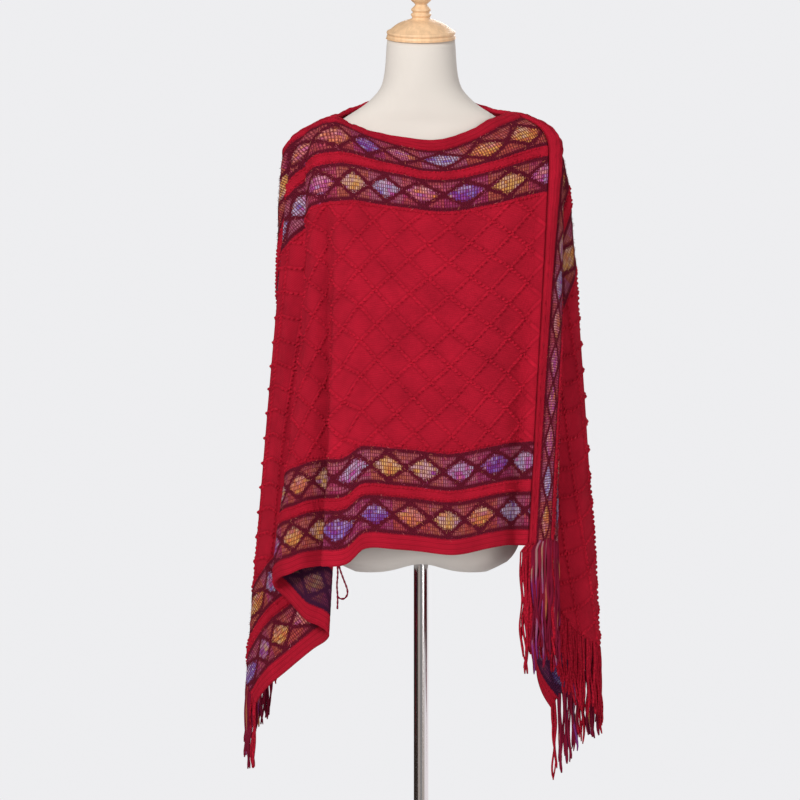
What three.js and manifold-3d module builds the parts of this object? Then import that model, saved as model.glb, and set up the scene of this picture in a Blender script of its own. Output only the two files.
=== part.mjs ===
// A fringed knitted poncho on a limbless dress form. Two equal panels are joined end to side, the
// short end of each to the neck edge of the other. Millimetres, +Z up, the front faces -Y, and the
// origin is the centre of the base's underside.
import * as THREE from "three";
import { mergeVertices } from "three/addons/utils/BufferGeometryUtils.js";
import Module from "manifold-3d";

const wasm = await Module();
wasm.setup();

// ---- the cut of one panel
const HALF_DIAMOND = 28; // half a lattice diamond, along the panel
const NECK_RUN = 11 * HALF_DIAMOND; // the stretch of the neck edge that stays open
const WIDTH = 644; // neck edge to hem
const LENGTH = NECK_RUN + WIDTH; // sewn end to fringed end
const LOWER_EDGE = LENGTH + WIDTH; // hem and fringed end together
const BORDER = 22; // plain red roll at the neck edge, plain red hem
const BAND = 54; // one space-dyed band
const STRIPE = 16; // red stripe between two bands
const TRIM = BORDER + 2 * BAND + STRIPE; // all that lies between an edge and the field
const FIELD_ROWS = 14; // half diamonds across the field
const WALL = 2.4; // knitted cloth
const LATTICE_RISE = 1.3;
const ROLL_RISE = 3.2;
const STRIPE_RISE = 1.2;
const SEAM_GAP = 1.1; // each panel's edge stands this far back from the seam line
const SEAM_LEAN = 0.6; // how far the cloth at a seam faces sideways
const SEAM_UP = 60; // near the neck it also faces up, over this length
const STRIP_GAP = 1.1; // between a panel and its knotted edge

// ---- how the cloth leaves the neck and the shoulder
const LEFT_DROP = 26; // height saved by the run over the left shoulder, as seen from the front
const RIGHT_DROP = 32;
const CHEST_DROP = 40; // more is saved down the middle of the chest and of the back
const NECK_STAND = 40; // there the roll stands up before the cloth turns out
const SHOULDER_TURN = 62; // length over which the cloth turns down
const QUICK_SHARE = 0.57; // part of the way out that the shoulder turn covers
const OUT_POWER = 0.9; // shapes the rest of the way out
const BULGE_DEPTH = 0.25; // where the side over an arm swings most, in WIDTHs
const EASE_DEPTH = 0.7; // down to here the side over an arm keeps an ease of its own
const FOLD_LAP_POWER = 1.9; // a fold laps over itself only low down
const FOLD_DEPTH_POWER = 0.9; // and swings in and out from higher up
const SEAM_OUT = 48; // the seam first runs out along the shoulder
const SEAM_BACK = 34;
const SEAM_RISE = 40; // length over which it does so
const SEAM_FADE = 172;
const SEAM_REACH = 0.65 * NECK_RUN; // how far along the neck edge the seam draws the cloth

// The neck edge of each panel, in the panel's own frame with its outside facing -Y.
const FRONT_NECK = [
  { along: 0, x: 130, y: -4, z: 1418 },
  { along: 36, x: 104, y: -30, z: 1407 },
  { along: 84, x: 66, y: -58, z: 1388 },
  { along: 140, x: 20, y: -72, z: 1376 },
  { along: 196, x: -36, y: -70, z: 1381 },
  { along: 252, x: -88, y: -46, z: 1392 },
  { along: 308, x: -128, y: -6, z: 1411 },
];
const BACK_NECK = [
  { along: 0, x: 128, y: 6, z: 1411 },
  { along: 50, x: 100, y: -30, z: 1428 },
  { along: 104, x: 60, y: -65, z: 1450 },
  { along: 158, x: 5, y: -81, z: 1460 },
  { along: 212, x: -52, y: -69, z: 1452 },
  { along: 262, x: -98, y: -30, z: 1430 },
  { along: 308, x: -130, y: 4, z: 1418 },
];

// The folds, a row for each crest, trough or turn met along the lower edge, from the sewn end
// round the hem and the fringed end to the seam: its place in plan one WIDTH down from the neck,
// and how far the knit is drawn out (above 1) or eased up (below 1) on the way there.
const FRONT_FOLDS = [
  { along: 0, x: 150, y: -114, ease: 1.01 },
  { along: 28, x: 131, y: -98, ease: 1.0 },
  { along: 56, x: 112, y: -122, ease: 0.985 },
  { along: 84, x: 90, y: -134, ease: 0.976 },
  { along: 150, x: 38, y: -142, ease: 0.973 },
  { along: 230, x: -35, y: -142, ease: 0.973 },
  { along: 280, x: -80, y: -137, ease: 0.985 },
  { along: 308, x: -106, y: -130, ease: 1.03 },
  { along: 336, x: -138, y: -121, ease: 1.035 },
  { along: 364, x: -133, y: -108, ease: 1.03 },
  { along: 392, x: -126, y: -96, ease: 1.02 },
  { along: 420, x: -132, y: -85, ease: 1.02 },
  { along: 448, x: -150, y: -83, ease: 1.015 },
  { along: 476, x: -170, y: -82, ease: 1.01 },
  { along: 504, x: -187, y: -78, ease: 1.01 },
  { along: 532, x: -201, y: -69, ease: 1.005 },
  { along: 560, x: -209, y: -54, ease: 1.005 },
  { along: 588, x: -204, y: -40, ease: 1.005 },
  { along: 616, x: -190, y: -43, ease: 1.005 },
  { along: 644, x: -174, y: -55, ease: 1.01 },
  { along: 672, x: -159, y: -65, ease: 1.01 },
  { along: 700, x: -141, y: -69, ease: 1.0 },
  { along: 728, x: -127, y: -63, ease: 0.995 },
  { along: 756, x: -131, y: -49, ease: 0.99 },
  { along: 784, x: -147, y: -36, ease: 0.985 },
  { along: 840, x: -184, y: -20, ease: 0.985 },
  { along: 896, x: -208, y: -12, ease: 0.97 },
  { along: 952, x: -222, y: -2, ease: 0.955 },
  { along: 1008, x: -240, y: 36, ease: 0.965 },
  { along: 1064, x: -222, y: 56, ease: 0.97 },
  { along: 1120, x: -194, y: 56, ease: 0.965 },
  { along: 1176, x: -166, y: 61, ease: 0.965 },
  { along: 1204, x: -158, y: 75, ease: 0.97 },
  { along: 1232, x: -164, y: 88, ease: 0.975 },
  { along: 1288, x: -188, y: 94, ease: 0.985 },
  { along: 1330, x: -206, y: 97, ease: 1.0 },
  { along: 1372, x: -213, y: 104, ease: 1.0 },
  { along: 1414, x: -206, y: 113, ease: 0.995 },
  { along: 1510, x: -184, y: 121, ease: 0.99 },
  { along: 1560, x: -167, y: 119, ease: 1.0 },
  { along: 1596, x: -150, y: 114, ease: 1.01 },
];
const BACK_FOLDS = [
  { along: 0, x: 150, y: -114, ease: 1.01 },
  { along: 28, x: 133, y: -108, ease: 1.0 },
  { along: 56, x: 114, y: -124, ease: 0.995 },
  { along: 84, x: 92, y: -136, ease: 0.99 },
  { along: 150, x: 40, y: -145, ease: 0.985 },
  { along: 230, x: -35, y: -144, ease: 0.985 },
  { along: 280, x: -80, y: -138, ease: 0.99 },
  { along: 308, x: -106, y: -131, ease: 1.0 },
  { along: 336, x: -139, y: -122, ease: 1.0 },
  { along: 364, x: -133, y: -110, ease: 1.0 },
  { along: 392, x: -127, y: -99, ease: 1.0 },
  { along: 420, x: -134, y: -90, ease: 1.0 },
  { along: 448, x: -152, y: -90, ease: 1.0 },
  { along: 476, x: -171, y: -93, ease: 1.0 },
  { along: 504, x: -190, y: -93, ease: 1.0 },
  { along: 560, x: -226, y: -85, ease: 1.0 },
  { along: 616, x: -246, y: -66, ease: 1.0 },
  { along: 672, x: -234, y: -51, ease: 1.0 },
  { along: 728, x: -208, y: -53, ease: 1.0 },
  { along: 784, x: -178, y: -54, ease: 1.0 },
  { along: 840, x: -160, y: -46, ease: 0.995 },
  { along: 896, x: -160, y: -34, ease: 0.99 },
  { along: 952, x: -173, y: -27, ease: 0.982 },
  { along: 1008, x: -205, y: -32, ease: 0.985 },
  { along: 1036, x: -220, y: -33, ease: 0.99 },
  { along: 1064, x: -236, y: -25, ease: 0.995 },
  { along: 1092, x: -245, y: -9, ease: 1.0 },
  { along: 1120, x: -248, y: 7, ease: 1.01 },
  { along: 1148, x: -243, y: 24, ease: 1.02 },
  { along: 1176, x: -233, y: 39, ease: 1.03 },
  { along: 1204, x: -217, y: 47, ease: 1.035 },
  { along: 1260, x: -188, y: 58, ease: 1.02 },
  { along: 1316, x: -156, y: 66, ease: 1.0 },
  { along: 1344, x: -149, y: 78, ease: 1.0 },
  { along: 1372, x: -157, y: 89, ease: 0.99 },
  { along: 1428, x: -186, y: 94, ease: 0.99 },
  { along: 1460, x: -191, y: 101, ease: 0.99 },
  { along: 1510, x: -184, y: 110, ease: 0.99 },
  { along: 1560, x: -168, y: 116, ease: 1.0 },
  { along: 1596, x: -150, y: 114, ease: 1.01 },
];

// The smooth ring that the folds swing about, one WIDTH down.
const RING = { x: -106, out: 134, deep: 130, turn: THREE.MathUtils.degToRad(161), bow: 12 };

// ---- fringe
const STRANDS = 84; // on each fringed end
const STRAND_WIDTH = 3.2;
const STRIP = 7; // knotted edge that carries the strands
const STRIP_START = 6; // clear of the seam
const FRINGE = { shortest: 95, longest: 118 };
const LONG_FRINGE = { shortest: 140, longest: 190 }; // nearest the neck edge of the back panel

// ---- dress form and stand: half widths and depths, a row for each level
const FORM = [
  { z: 757, half: 96, front: 62, back: 70 },
  { z: 772, half: 126, front: 84, back: 92 },
  { z: 800, half: 143, front: 93, back: 98 },
  { z: 850, half: 149, front: 92, back: 102 },
  { z: 930, half: 137, front: 84, back: 92 },
  { z: 1020, half: 113, front: 78, back: 78 },
  { z: 1090, half: 116, front: 84, back: 78 },
  { z: 1170, half: 133, front: 102, back: 86 },
  { z: 1240, half: 146, front: 108, back: 92 },
  { z: 1300, half: 157, front: 90, back: 90 },
  { z: 1345, half: 166, front: 70, back: 82 },
  { z: 1372, half: 170, front: 57, back: 67 },
  { z: 1388, half: 158, front: 51, back: 59 },
  { z: 1402, half: 130, front: 46, back: 55 },
  { z: 1418, half: 105, front: 47, back: 54 },
  { z: 1436, half: 78, front: 47, back: 54 },
  { z: 1462, half: 57, front: 48, back: 54 },
  { z: 1529, half: 49, front: 46, back: 50 },
];
const FORM_SIDES = 28;
const SEAT_SPLIT = 14; // how far the middle of the underside is lifted between its two lobes
const SEAT_SPREAD = 40;
const BORE_FOOT = 700; // the form's bore is cut up from here
const FIT_GAP = 0.3; // between the pole and what it stands in
const CAP_RADIUS = 50;
const CAP_BASE = 1529.32;
const NECK_TILT = (15 * Math.PI) / 180; // the neck's top and its cap lean to the front
const POLE_RADIUS = 10.5;
const POLE_TOP = 790;
const BASE_RADIUS = 170;
const BASE_THICK = 12;

// ---------------------------------------------------------------- curves
// A smooth curve through the rows of a table at a place along it.
function through(rows, along, keys) {
  let i = 0;
  while (i < rows.length - 2 && along > rows[i + 1].along) i++;
  const a = rows[Math.max(i - 1, 0)];
  const b = rows[i];
  const c = rows[i + 1];
  const d = rows[Math.min(i + 2, rows.length - 1)];
  const span = c.along - b.along;
  const t = THREE.MathUtils.clamp((along - b.along) / span, 0, 1);
  return keys.map((key) => {
    const slopeB = (c[key] - a[key]) / (c.along - a.along);
    const slopeC = (d[key] - b[key]) / (d.along - b.along);
    const t2 = t * t;
    const t3 = t2 * t;
    return (
      (2 * t3 - 3 * t2 + 1) * b[key] +
      (t3 - 2 * t2 + t) * span * slopeB +
      (3 * t2 - 2 * t3) * c[key] +
      (t3 - t2) * span * slopeC
    );
  });
}

// Where the hang line through a cut point meets the lower edge, and the length down to the point.
function hangLine(u, v) {
  if (u <= NECK_RUN) return { along: u, down: v };
  const over = u - NECK_RUN;
  const down = Math.hypot(over, v);
  const along =
    over <= v ? NECK_RUN + (WIDTH * over) / v : LOWER_EDGE - (WIDTH * v) / over;
  return { along, down };
}

// The smooth ring at a place along the lower edge.
function ringPoint(along) {
  const endX = RING.x - RING.out * Math.sin(RING.turn);
  const endY = -RING.deep * Math.cos(RING.turn);
  if (along > NECK_RUN) {
    const angle = (RING.turn * (along - NECK_RUN)) / (LOWER_EDGE - NECK_RUN);
    return [RING.x - RING.out * Math.sin(angle), -RING.deep * Math.cos(angle)];
  }
  const t = along / NECK_RUN;
  const bow = RING.bow * Math.sin(Math.PI * t);
  return [
    THREE.MathUtils.lerp(-endX, RING.x, t),
    THREE.MathUtils.lerp(-endY, -RING.deep, t) - bow,
  ];
}

// A point of a panel in its own frame, by its place in the cut.
function clothPoint(panel, along, down) {
  const [topX, topY, topZ] = through(panel.neck, Math.min(along, NECK_RUN), ["x", "y", "z"]);
  const [foldX, foldY, ease] = through(panel.folds, along, ["x", "y", "ease"]);
  const [ringX, ringY] = ringPoint(along);
  const [nextX, nextY] = ringPoint(along + 1);
  const depth = down / WIDTH;
  const share = Math.min(along / NECK_RUN, 1);
  const middle = Math.sin(Math.PI * share);
  const stand = NECK_STAND * middle ** 2;
  const turning = Math.max(down - stand * (1 - Math.exp(-down / NECK_STAND)), 0);
  const out =
    QUICK_SHARE * Math.tanh(turning / SHOULDER_TURN) + (1 - QUICK_SHARE) * depth ** OUT_POWER;
  const length = Math.hypot(nextX - ringX, nextY - ringY);
  const [runX, runY] = [(nextX - ringX) / length, (nextY - ringY) / length];
  const lap = (foldX - ringX) * runX + (foldY - ringY) * runY;
  const swing = (foldX - ringX) * -runY + (foldY - ringY) * runX;
  const overArm = Math.max((along - NECK_RUN) / (LOWER_EDGE - NECK_RUN), 0);
  const fan = Math.sin(Math.PI * overArm) ** 2;
  const bulge = (panel.bulge * fan * depth * Math.exp(1 - depth / BULGE_DEPTH)) / BULGE_DEPTH;
  const lapped = lap * Math.min(depth, 1) ** FOLD_LAP_POWER;
  const swung = swing * Math.min(depth, 1) ** FOLD_DEPTH_POWER + bulge;
  const rise = 1 - Math.exp(-((down / SEAM_RISE) ** 2));
  const seamX = SEAM_OUT * rise * Math.max(1 - depth, 0);
  const seamY = SEAM_BACK * rise * Math.exp(-((down / SEAM_FADE) ** 2));
  const nearStart = Math.cos((Math.PI / 2) * Math.min(along / SEAM_REACH, 1)) ** 2;
  const nearEnd = Math.sin((Math.PI / 2) * Math.max((along - LENGTH) / WIDTH, 0)) ** 2;
  const pull = nearStart - nearEnd;
  const [first, last] = panel.drops;
  const shoulder = THREE.MathUtils.lerp(first, last, share);
  const saved = THREE.MathUtils.lerp(shoulder, CHEST_DROP, middle);
  const topEase = (panel.topEase - ease) * fan * Math.max(1 - depth / EASE_DEPTH, 0);
  return new THREE.Vector3(
    topX + (ringX - topX) * out + lapped * runX - swung * runY + seamX * pull,
    topY + (ringY - topY) * out + lapped * runY + swung * runX + seamY * pull,
    topZ - (down - saved * (1 - Math.exp(-turning / saved))) * (ease + topEase),
  );
}

// The outward normal of a panel at a place in the cut. Along a seam both panels take the one that
// leans away from the stand's axis, so their edges meet squarely.
function clothNormal(panel, u, v) {
  const step = 3; // over which the cloth's slope is taken
  const sewnEnd = u <= SEAM_GAP;
  if (sewnEnd || (u > NECK_RUN && v <= SEAM_GAP)) {
    const along = sewnEnd ? 0 : LOWER_EDGE;
    const down = sewnEnd ? v : u - NECK_RUN;
    const here = clothPoint(panel, along, down);
    const run = clothPoint(panel, along, down + step).sub(
      clothPoint(panel, along, Math.max(down - step, 0)),
    );
    const outward = new THREE.Vector3(here.x * SEAM_LEAN, here.y, Math.max(SEAM_UP - down, 0));
    run.normalize();
    return outward.addScaledVector(run, -outward.dot(run)).normalize();
  }
  const at = (du, dv) => {
    const line = hangLine(Math.max(u + du, 0), Math.max(v + dv, 0.4));
    return clothPoint(panel, line.along, line.down);
  };
  const across = at(step, 0).sub(at(-step, 0));
  const downward = at(0, step).sub(at(0, -step));
  return across.cross(downward).normalize();
}

// ---------------------------------------------------------------- relief in the outer face
function reliefAt(column, row, v) {
  const fromEdge = Math.min(v, WIDTH - v);
  if (fromEdge < BORDER) return fromEdge > 1 ? ROLL_RISE * (v < BORDER ? 1 : 0.5) : 0;
  if (fromEdge > TRIM - 1) return (column + row) % 2 === 0 ? LATTICE_RISE : 0;
  const stripe = Math.abs(fromEdge - BORDER - BAND - STRIPE / 2) < 1;
  return stripe ? STRIPE_RISE : 0;
}

// Distances from the neck edge at which the wall has a row of points.
function rowStations() {
  const trim = [SEAM_GAP, BORDER / 2, BORDER, BORDER + BAND / 2, BORDER + BAND];
  trim.push(BORDER + BAND + STRIPE / 2, BORDER + BAND + STRIPE, TRIM - BAND / 2);
  const field = [];
  for (let i = 0; i <= FIELD_ROWS; i++) {
    field.push(TRIM + ((WIDTH - 2 * TRIM) * i) / FIELD_ROWS);
  }
  const lower = trim.map((v, i) => (i ? WIDTH - v : WIDTH)).reverse();
  return [...trim, ...field, ...lower];
}

function columnStations() {
  const count = LENGTH / HALF_DIAMOND;
  const stations = [];
  for (let i = 0; i <= count; i++) stations.push(i * HALF_DIAMOND);
  stations[0] = SEAM_GAP;
  stations[count] = LENGTH - STRIP - STRIP_GAP;
  return stations;
}

// A closed wall from a grid of outer points over a plain inside.
function wallGeometry(outer, inner, splitUp) {
  const rows = outer.length;
  const columns = outer[0].length;
  const points = [];
  const faces = [];
  for (const grid of [outer, inner]) {
    for (const line of grid) for (const p of line) points.push(p.x, p.y, p.z);
  }
  const id = (side, r, c) => side * rows * columns + r * columns + c;
  const quad = (a, b, c, d, up) => {
    if (up) faces.push(a, c, b, a, d, c);
    else faces.push(a, d, b, b, d, c);
  };
  for (let r = 0; r + 1 < rows; r++) {
    for (let c = 0; c + 1 < columns; c++) {
      const up = splitUp(r, c);
      quad(id(0, r, c), id(0, r + 1, c), id(0, r + 1, c + 1), id(0, r, c + 1), up);
      quad(id(1, r, c), id(1, r, c + 1), id(1, r + 1, c + 1), id(1, r + 1, c), up);
    }
  }
  for (let c = 0; c + 1 < columns; c++) {
    quad(id(0, 0, c), id(0, 0, c + 1), id(1, 0, c + 1), id(1, 0, c), true);
    const last = rows - 1;
    quad(id(0, last, c), id(1, last, c), id(1, last, c + 1), id(0, last, c + 1), true);
  }
  for (let r = 0; r + 1 < rows; r++) {
    quad(id(0, r, 0), id(1, r, 0), id(1, r + 1, 0), id(0, r + 1, 0), true);
    const last = columns - 1;
    quad(id(0, r, last), id(0, r + 1, last), id(1, r + 1, last), id(1, r, last), true);
  }
  const geometry = new THREE.BufferGeometry();
  geometry.setAttribute("position", new THREE.Float32BufferAttribute(points, 3));
  geometry.setIndex(faces);
  return geometry;
}

function panelGeometry(panel) {
  const rows = rowStations();
  const columns = columnStations();
  const firstField = rows.indexOf(TRIM);
  const outer = [];
  const inner = [];
  rows.forEach((v, r) => {
    outer.push([]);
    inner.push([]);
    columns.forEach((u, c) => {
      const line = hangLine(u, v);
      const middle = clothPoint(panel, line.along, line.down);
      const normal = clothNormal(panel, u, v);
      const edge = c === 0 || c === columns.length - 1;
      const rise = WALL / 2 + (edge ? 0 : reliefAt(c, r - firstField, v));
      outer[r].push(middle.clone().addScaledVector(normal, rise));
      inner[r].push(middle.clone().addScaledVector(normal, -WALL / 2));
    });
  });
  return wallGeometry(outer, inner, (r, c) => (c + r - firstField) % 2 === 0);
}

// ---------------------------------------------------------------- joins
function toSolid(geometry) {
  const bare = geometry.clone();
  bare.deleteAttribute("normal");
  bare.deleteAttribute("uv");
  const merged = mergeVertices(bare, 1e-4);
  const mesh = new wasm.Mesh({
    numProp: 3,
    vertProperties: new Float32Array(merged.attributes.position.array),
    triVerts: new Uint32Array(merged.index.array),
  });
  return new wasm.Manifold(mesh);
}

function fromSolid(solid) {
  const mesh = solid.getMesh();
  const points = new Float32Array(mesh.numVert * 3);
  for (let i = 0; i < mesh.numVert; i++) {
    const from = i * mesh.numProp;
    points.set(mesh.vertProperties.subarray(from, from + 3), i * 3);
  }
  const geometry = new THREE.BufferGeometry();
  geometry.setAttribute("position", new THREE.BufferAttribute(points, 3));
  geometry.setIndex(new THREE.BufferAttribute(mesh.triVerts, 1));
  return geometry;
}

// ---------------------------------------------------------------- fringe
// Unlike lengths from two waves that never fall in step, by the strand's place and number.
function strandLength(panel, v, i) {
  const { shortest, longest } = v < panel.longUntil ? LONG_FRINGE : FRINGE;
  const share = 0.5 + 0.32 * Math.sin(i * 2.4) + 0.18 * Math.sin(i * 0.37 + 1);
  return THREE.MathUtils.lerp(shortest, longest, share);
}

// A three-sided strand along its hang line, rooted in the strip and narrower at its end.
function strandSolid(panel, v, length) {
  const root = hangLine(LENGTH - STRIP * 0.4, v);
  const points = [];
  const rings = [
    { down: root.down, radius: STRAND_WIDTH / 2 },
    { down: root.down + length, radius: STRAND_WIDTH * 0.35 },
  ];
  for (const { down, radius } of rings) {
    const middle = clothPoint(panel, root.along, down);
    for (let k = 0; k < 3; k++) {
      const angle = (2 * Math.PI * k) / 3;
      points.push(
        middle.x + radius * Math.cos(angle),
        middle.y + radius * Math.sin(angle),
        middle.z,
      );
    }
  }
  const faces = [0, 1, 2, 3, 5, 4];
  for (let k = 0; k < 3; k++) {
    const next = (k + 1) % 3;
    faces.push(k, k + 3, next, next, k + 3, next + 3);
  }
  const geometry = new THREE.BufferGeometry();
  geometry.setAttribute("position", new THREE.Float32BufferAttribute(points, 3));
  geometry.setIndex(faces);
  return toSolid(geometry);
}

function fringeGeometry(panel) {
  const rows = rowStations();
  rows[0] = STRIP_START;
  const sides = [WALL / 2, -WALL / 2].map((rise) =>
    rows.map((v) =>
      [LENGTH - STRIP, LENGTH].map((u) => {
        const line = hangLine(u, v);
        const middle = clothPoint(panel, line.along, line.down);
        return middle.addScaledVector(clothNormal(panel, u, v), rise);
      }),
    ),
  );
  let solid = toSolid(wallGeometry(sides[0], sides[1], () => true));
  const pitch = (WIDTH - STRIP_START) / STRANDS;
  for (let i = 0; i < STRANDS; i++) {
    const v = STRIP_START + (i + 0.5) * pitch;
    solid = solid.add(strandSolid(panel, v, strandLength(panel, v, i)));
  }
  return fromSolid(solid);
}

// ---------------------------------------------------------------- dress form and stand
function formGeometry() {
  const points = [];
  const faces = [];
  FORM.forEach(({ z, half, front, back }, row) => {
    const split = SEAT_SPLIT * Math.max(1 - row / 2, 0);
    for (let i = 0; i < FORM_SIDES; i++) {
      const angle = (2 * Math.PI * i) / FORM_SIDES;
      const x = half * Math.cos(angle);
      const y = (Math.sin(angle) < 0 ? front : back) * Math.sin(angle);
      const lean = row === FORM.length - 1 ? y * Math.tan(NECK_TILT) : 0;
      points.push(x, y, z + lean + split * Math.exp(-((x / SEAT_SPREAD) ** 2)));
    }
  });
  const top = FORM.length - 1;
  points.push(0, 0, FORM[0].z + SEAT_SPLIT, 0, 0, FORM[top].z);
  const under = FORM.length * FORM_SIDES;
  for (let i = 0; i < FORM_SIDES; i++) {
    const j = (i + 1) % FORM_SIDES;
    faces.push(under, j, i, under + 1, top * FORM_SIDES + i, top * FORM_SIDES + j);
    for (let row = 0; row < top; row++) {
      const a = row * FORM_SIDES;
      const b = a + FORM_SIDES;
      faces.push(a + i, a + j, b + j, a + i, b + j, b + i);
    }
  }
  const body = new THREE.BufferGeometry();
  body.setAttribute("position", new THREE.Float32BufferAttribute(points, 3));
  body.setIndex(faces);
  const depth = POLE_TOP + FIT_GAP - BORE_FOOT;
  const radius = POLE_RADIUS + FIT_GAP;
  const bore = new THREE.CylinderGeometry(radius, radius, depth, 24);
  bore.rotateX(Math.PI / 2).translate(0, 0, BORE_FOOT + depth / 2);
  return fromSolid(toSolid(body).subtract(toSolid(bore)));
}

// A turned piece from its profile, radius and height.
function turned(profile, sides) {
  const points = profile.map(([radius, z]) => new THREE.Vector2(radius, z));
  return new THREE.LatheGeometry(points, sides).rotateX(Math.PI / 2);
}

function capGeometry() {
  const z = 0;
  const cap = turned(
    [
      [0, z],
      [CAP_RADIUS - 3, z],
      [CAP_RADIUS, z + 3],
      [CAP_RADIUS - 1.5, z + 6],
      [CAP_RADIUS, z + 9],
      [CAP_RADIUS - 5, z + 13],
      [36, z + 20],
      [19, z + 27],
      [13, z + 31],
      [15, z + 35],
      [12, z + 38],
      [14.5, z + 42],
      [10, z + 47],
      [9, z + 50],
      [15, z + 56],
      [17.5, z + 65],
      [14, z + 75],
      [7, z + 81],
      [0, z + 82.5],
    ],
    24,
  );
  return cap.rotateX(NECK_TILT).translate(0, 0, CAP_BASE);
}

function baseGeometry() {
  const bore = POLE_RADIUS + FIT_GAP;
  return turned(
    [
      [0, 0],
      [BASE_RADIUS, 0],
      [BASE_RADIUS, BASE_THICK - 4],
      [BASE_RADIUS - 4, BASE_THICK],
      [26, BASE_THICK + 3],
      [20, BASE_THICK + 30],
      [bore, BASE_THICK + 32],
      [bore, BASE_THICK - 4],
      [0, BASE_THICK - 4],
    ],
    48,
  );
}

function poleGeometry() {
  const foot = BASE_THICK - 4 + FIT_GAP;
  const height = POLE_TOP - foot;
  const pole = new THREE.CylinderGeometry(POLE_RADIUS, POLE_RADIUS, height, 24);
  return pole.rotateX(Math.PI / 2).translate(0, 0, foot + height / 2);
}

// ---------------------------------------------------------------- the object
function finish(color, roughness, metalness) {
  return new THREE.MeshStandardMaterial({ color, roughness, metalness });
}

const group = new THREE.Group();
function place(name, geometry, material, halfTurn = false) {
  const mesh = new THREE.Mesh(geometry, material);
  mesh.name = name;
  if (halfTurn) mesh.rotation.z = Math.PI;
  group.add(mesh);
}

const frontCut = {
  neck: FRONT_NECK,
  folds: FRONT_FOLDS,
  drops: [RIGHT_DROP, LEFT_DROP],
  topEase: 1.05,
  bulge: -9,
  longUntil: 0,
};
const backCut = {
  neck: BACK_NECK,
  folds: BACK_FOLDS,
  drops: [LEFT_DROP, RIGHT_DROP],
  topEase: 1.06,
  bulge: 4,
  longUntil: 120,
};
const knit = finish(0xa91e34, 0.95, 0);
const yarn = finish(0x97202f, 0.95, 0);
place("front_panel", panelGeometry(frontCut), knit);
place("back_panel", panelGeometry(backCut), knit, true);
place("front_fringe", fringeGeometry(frontCut), yarn);
place("back_fringe", fringeGeometry(backCut), yarn, true);
place("dress_form", formGeometry(), finish(0xe9e0d4, 0.9, 0));
place("neck_cap", capGeometry(), finish(0xe6c79c, 0.55, 0));
place("pole", poleGeometry(), finish(0xc8c8cc, 0.2, 1));
place("base", baseGeometry(), finish(0xc8c8cc, 0.3, 1));

export default group;
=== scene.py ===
"""Dresses a fringed knitted poncho and the limbless dress form that wears it."""

import math

import bpy
import numpy as np
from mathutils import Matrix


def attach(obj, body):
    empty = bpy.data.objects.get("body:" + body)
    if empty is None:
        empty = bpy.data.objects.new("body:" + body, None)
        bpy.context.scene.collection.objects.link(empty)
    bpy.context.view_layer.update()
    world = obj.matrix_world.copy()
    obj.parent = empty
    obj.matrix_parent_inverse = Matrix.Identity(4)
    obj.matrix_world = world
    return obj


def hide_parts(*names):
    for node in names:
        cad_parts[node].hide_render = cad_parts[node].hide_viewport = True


bl_info = {
    "name": "Fringed Knitted Poncho",
    "version": (1, 0, 0),
    "blender": (4, 5, 0),
    "location": "View3D > Sidebar > Poncho",
    "description": "Knits a fringed poncho of two panels and hangs it on a dress form",
    "category": "Object",
}

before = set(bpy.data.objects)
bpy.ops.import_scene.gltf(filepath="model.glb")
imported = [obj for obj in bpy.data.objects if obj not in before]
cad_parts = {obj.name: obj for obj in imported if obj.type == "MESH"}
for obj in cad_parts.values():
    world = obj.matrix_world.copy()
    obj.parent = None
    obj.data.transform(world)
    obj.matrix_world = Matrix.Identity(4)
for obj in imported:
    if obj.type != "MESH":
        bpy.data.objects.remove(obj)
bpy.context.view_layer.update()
MM = 0.001

# ---- the cut of one panel, in millimetres
HALF_DIAMOND = 28.0
NECK_RUN = 11 * HALF_DIAMOND
WIDTH = 644.0
LENGTH = NECK_RUN + WIDTH
LOWER_EDGE = LENGTH + WIDTH
BORDER = 22.0
BAND = 54.0
STRIPE = 16.0
TRIM = BORDER + 2 * BAND + STRIPE
FIELD_ROWS = 14
FIELD_STEP = (WIDTH - 2 * TRIM) / FIELD_ROWS
LATTICE_SPREAD = HALF_DIAMOND * FIELD_STEP / math.hypot(HALF_DIAMOND, FIELD_STEP)
SEAM_GAP = 1.1
SEAM_LEAN = 0.6
SEAM_BLEND = 14.0
STRAND_PITCH = 7.0

# ---- relief: heights of the edges' rolls, and of ridges with their place from an edge or from a
# band's middle; then the lattice's beads
NECK_ROLL, HEM_ROLL = 5.4, 2.3
RIBS = ((4.2, 4.5, 0.8), (11.6, 3.7, 1.0), (18.6, 3.5, 0.85))  # middle, half width, share
PIPING_AT, PIPING_HALF, PIPING_RISE = 23.2, 3.8, 1.1
TRELLIS_REACH, TRELLIS_RISE = 21.0, 0.9
STRIPE_RISE, LATTICE_RISE = 2.1, 1.1
# Places from an edge of the grooves between the rolled ribs, where the knit's colour is darkened as
# painted shade
SHADED_GROOVES = (8.0, 15.4, BORDER - 0.6)
BEAD_PITCH = 11.0
BEADS_PER_LINE = 5
BEAD_LONG, BEAD_WIDE, BEAD_SIDES = 2.9, 2.1, 8
BEAD_RINGS = ((1.0, 0.0), (0.8, 1.7), (0.0, 2.6))

# ---- the bands' motif: its length, and half sizes of its shapes
MOTIF = 56.0
MOTIF_HALF = 21.0
LOZENGE_WIDE, LOZENGE_TALL = 23.0, 13.6
WEDGE_WIDE, WEDGE_TALL, WEDGE_AT = 23.0, 14.0, 20.0
DASH_WIDE, DASH_TALL = 3.5, 5.6
STITCH_SLANT = 0.55

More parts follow.
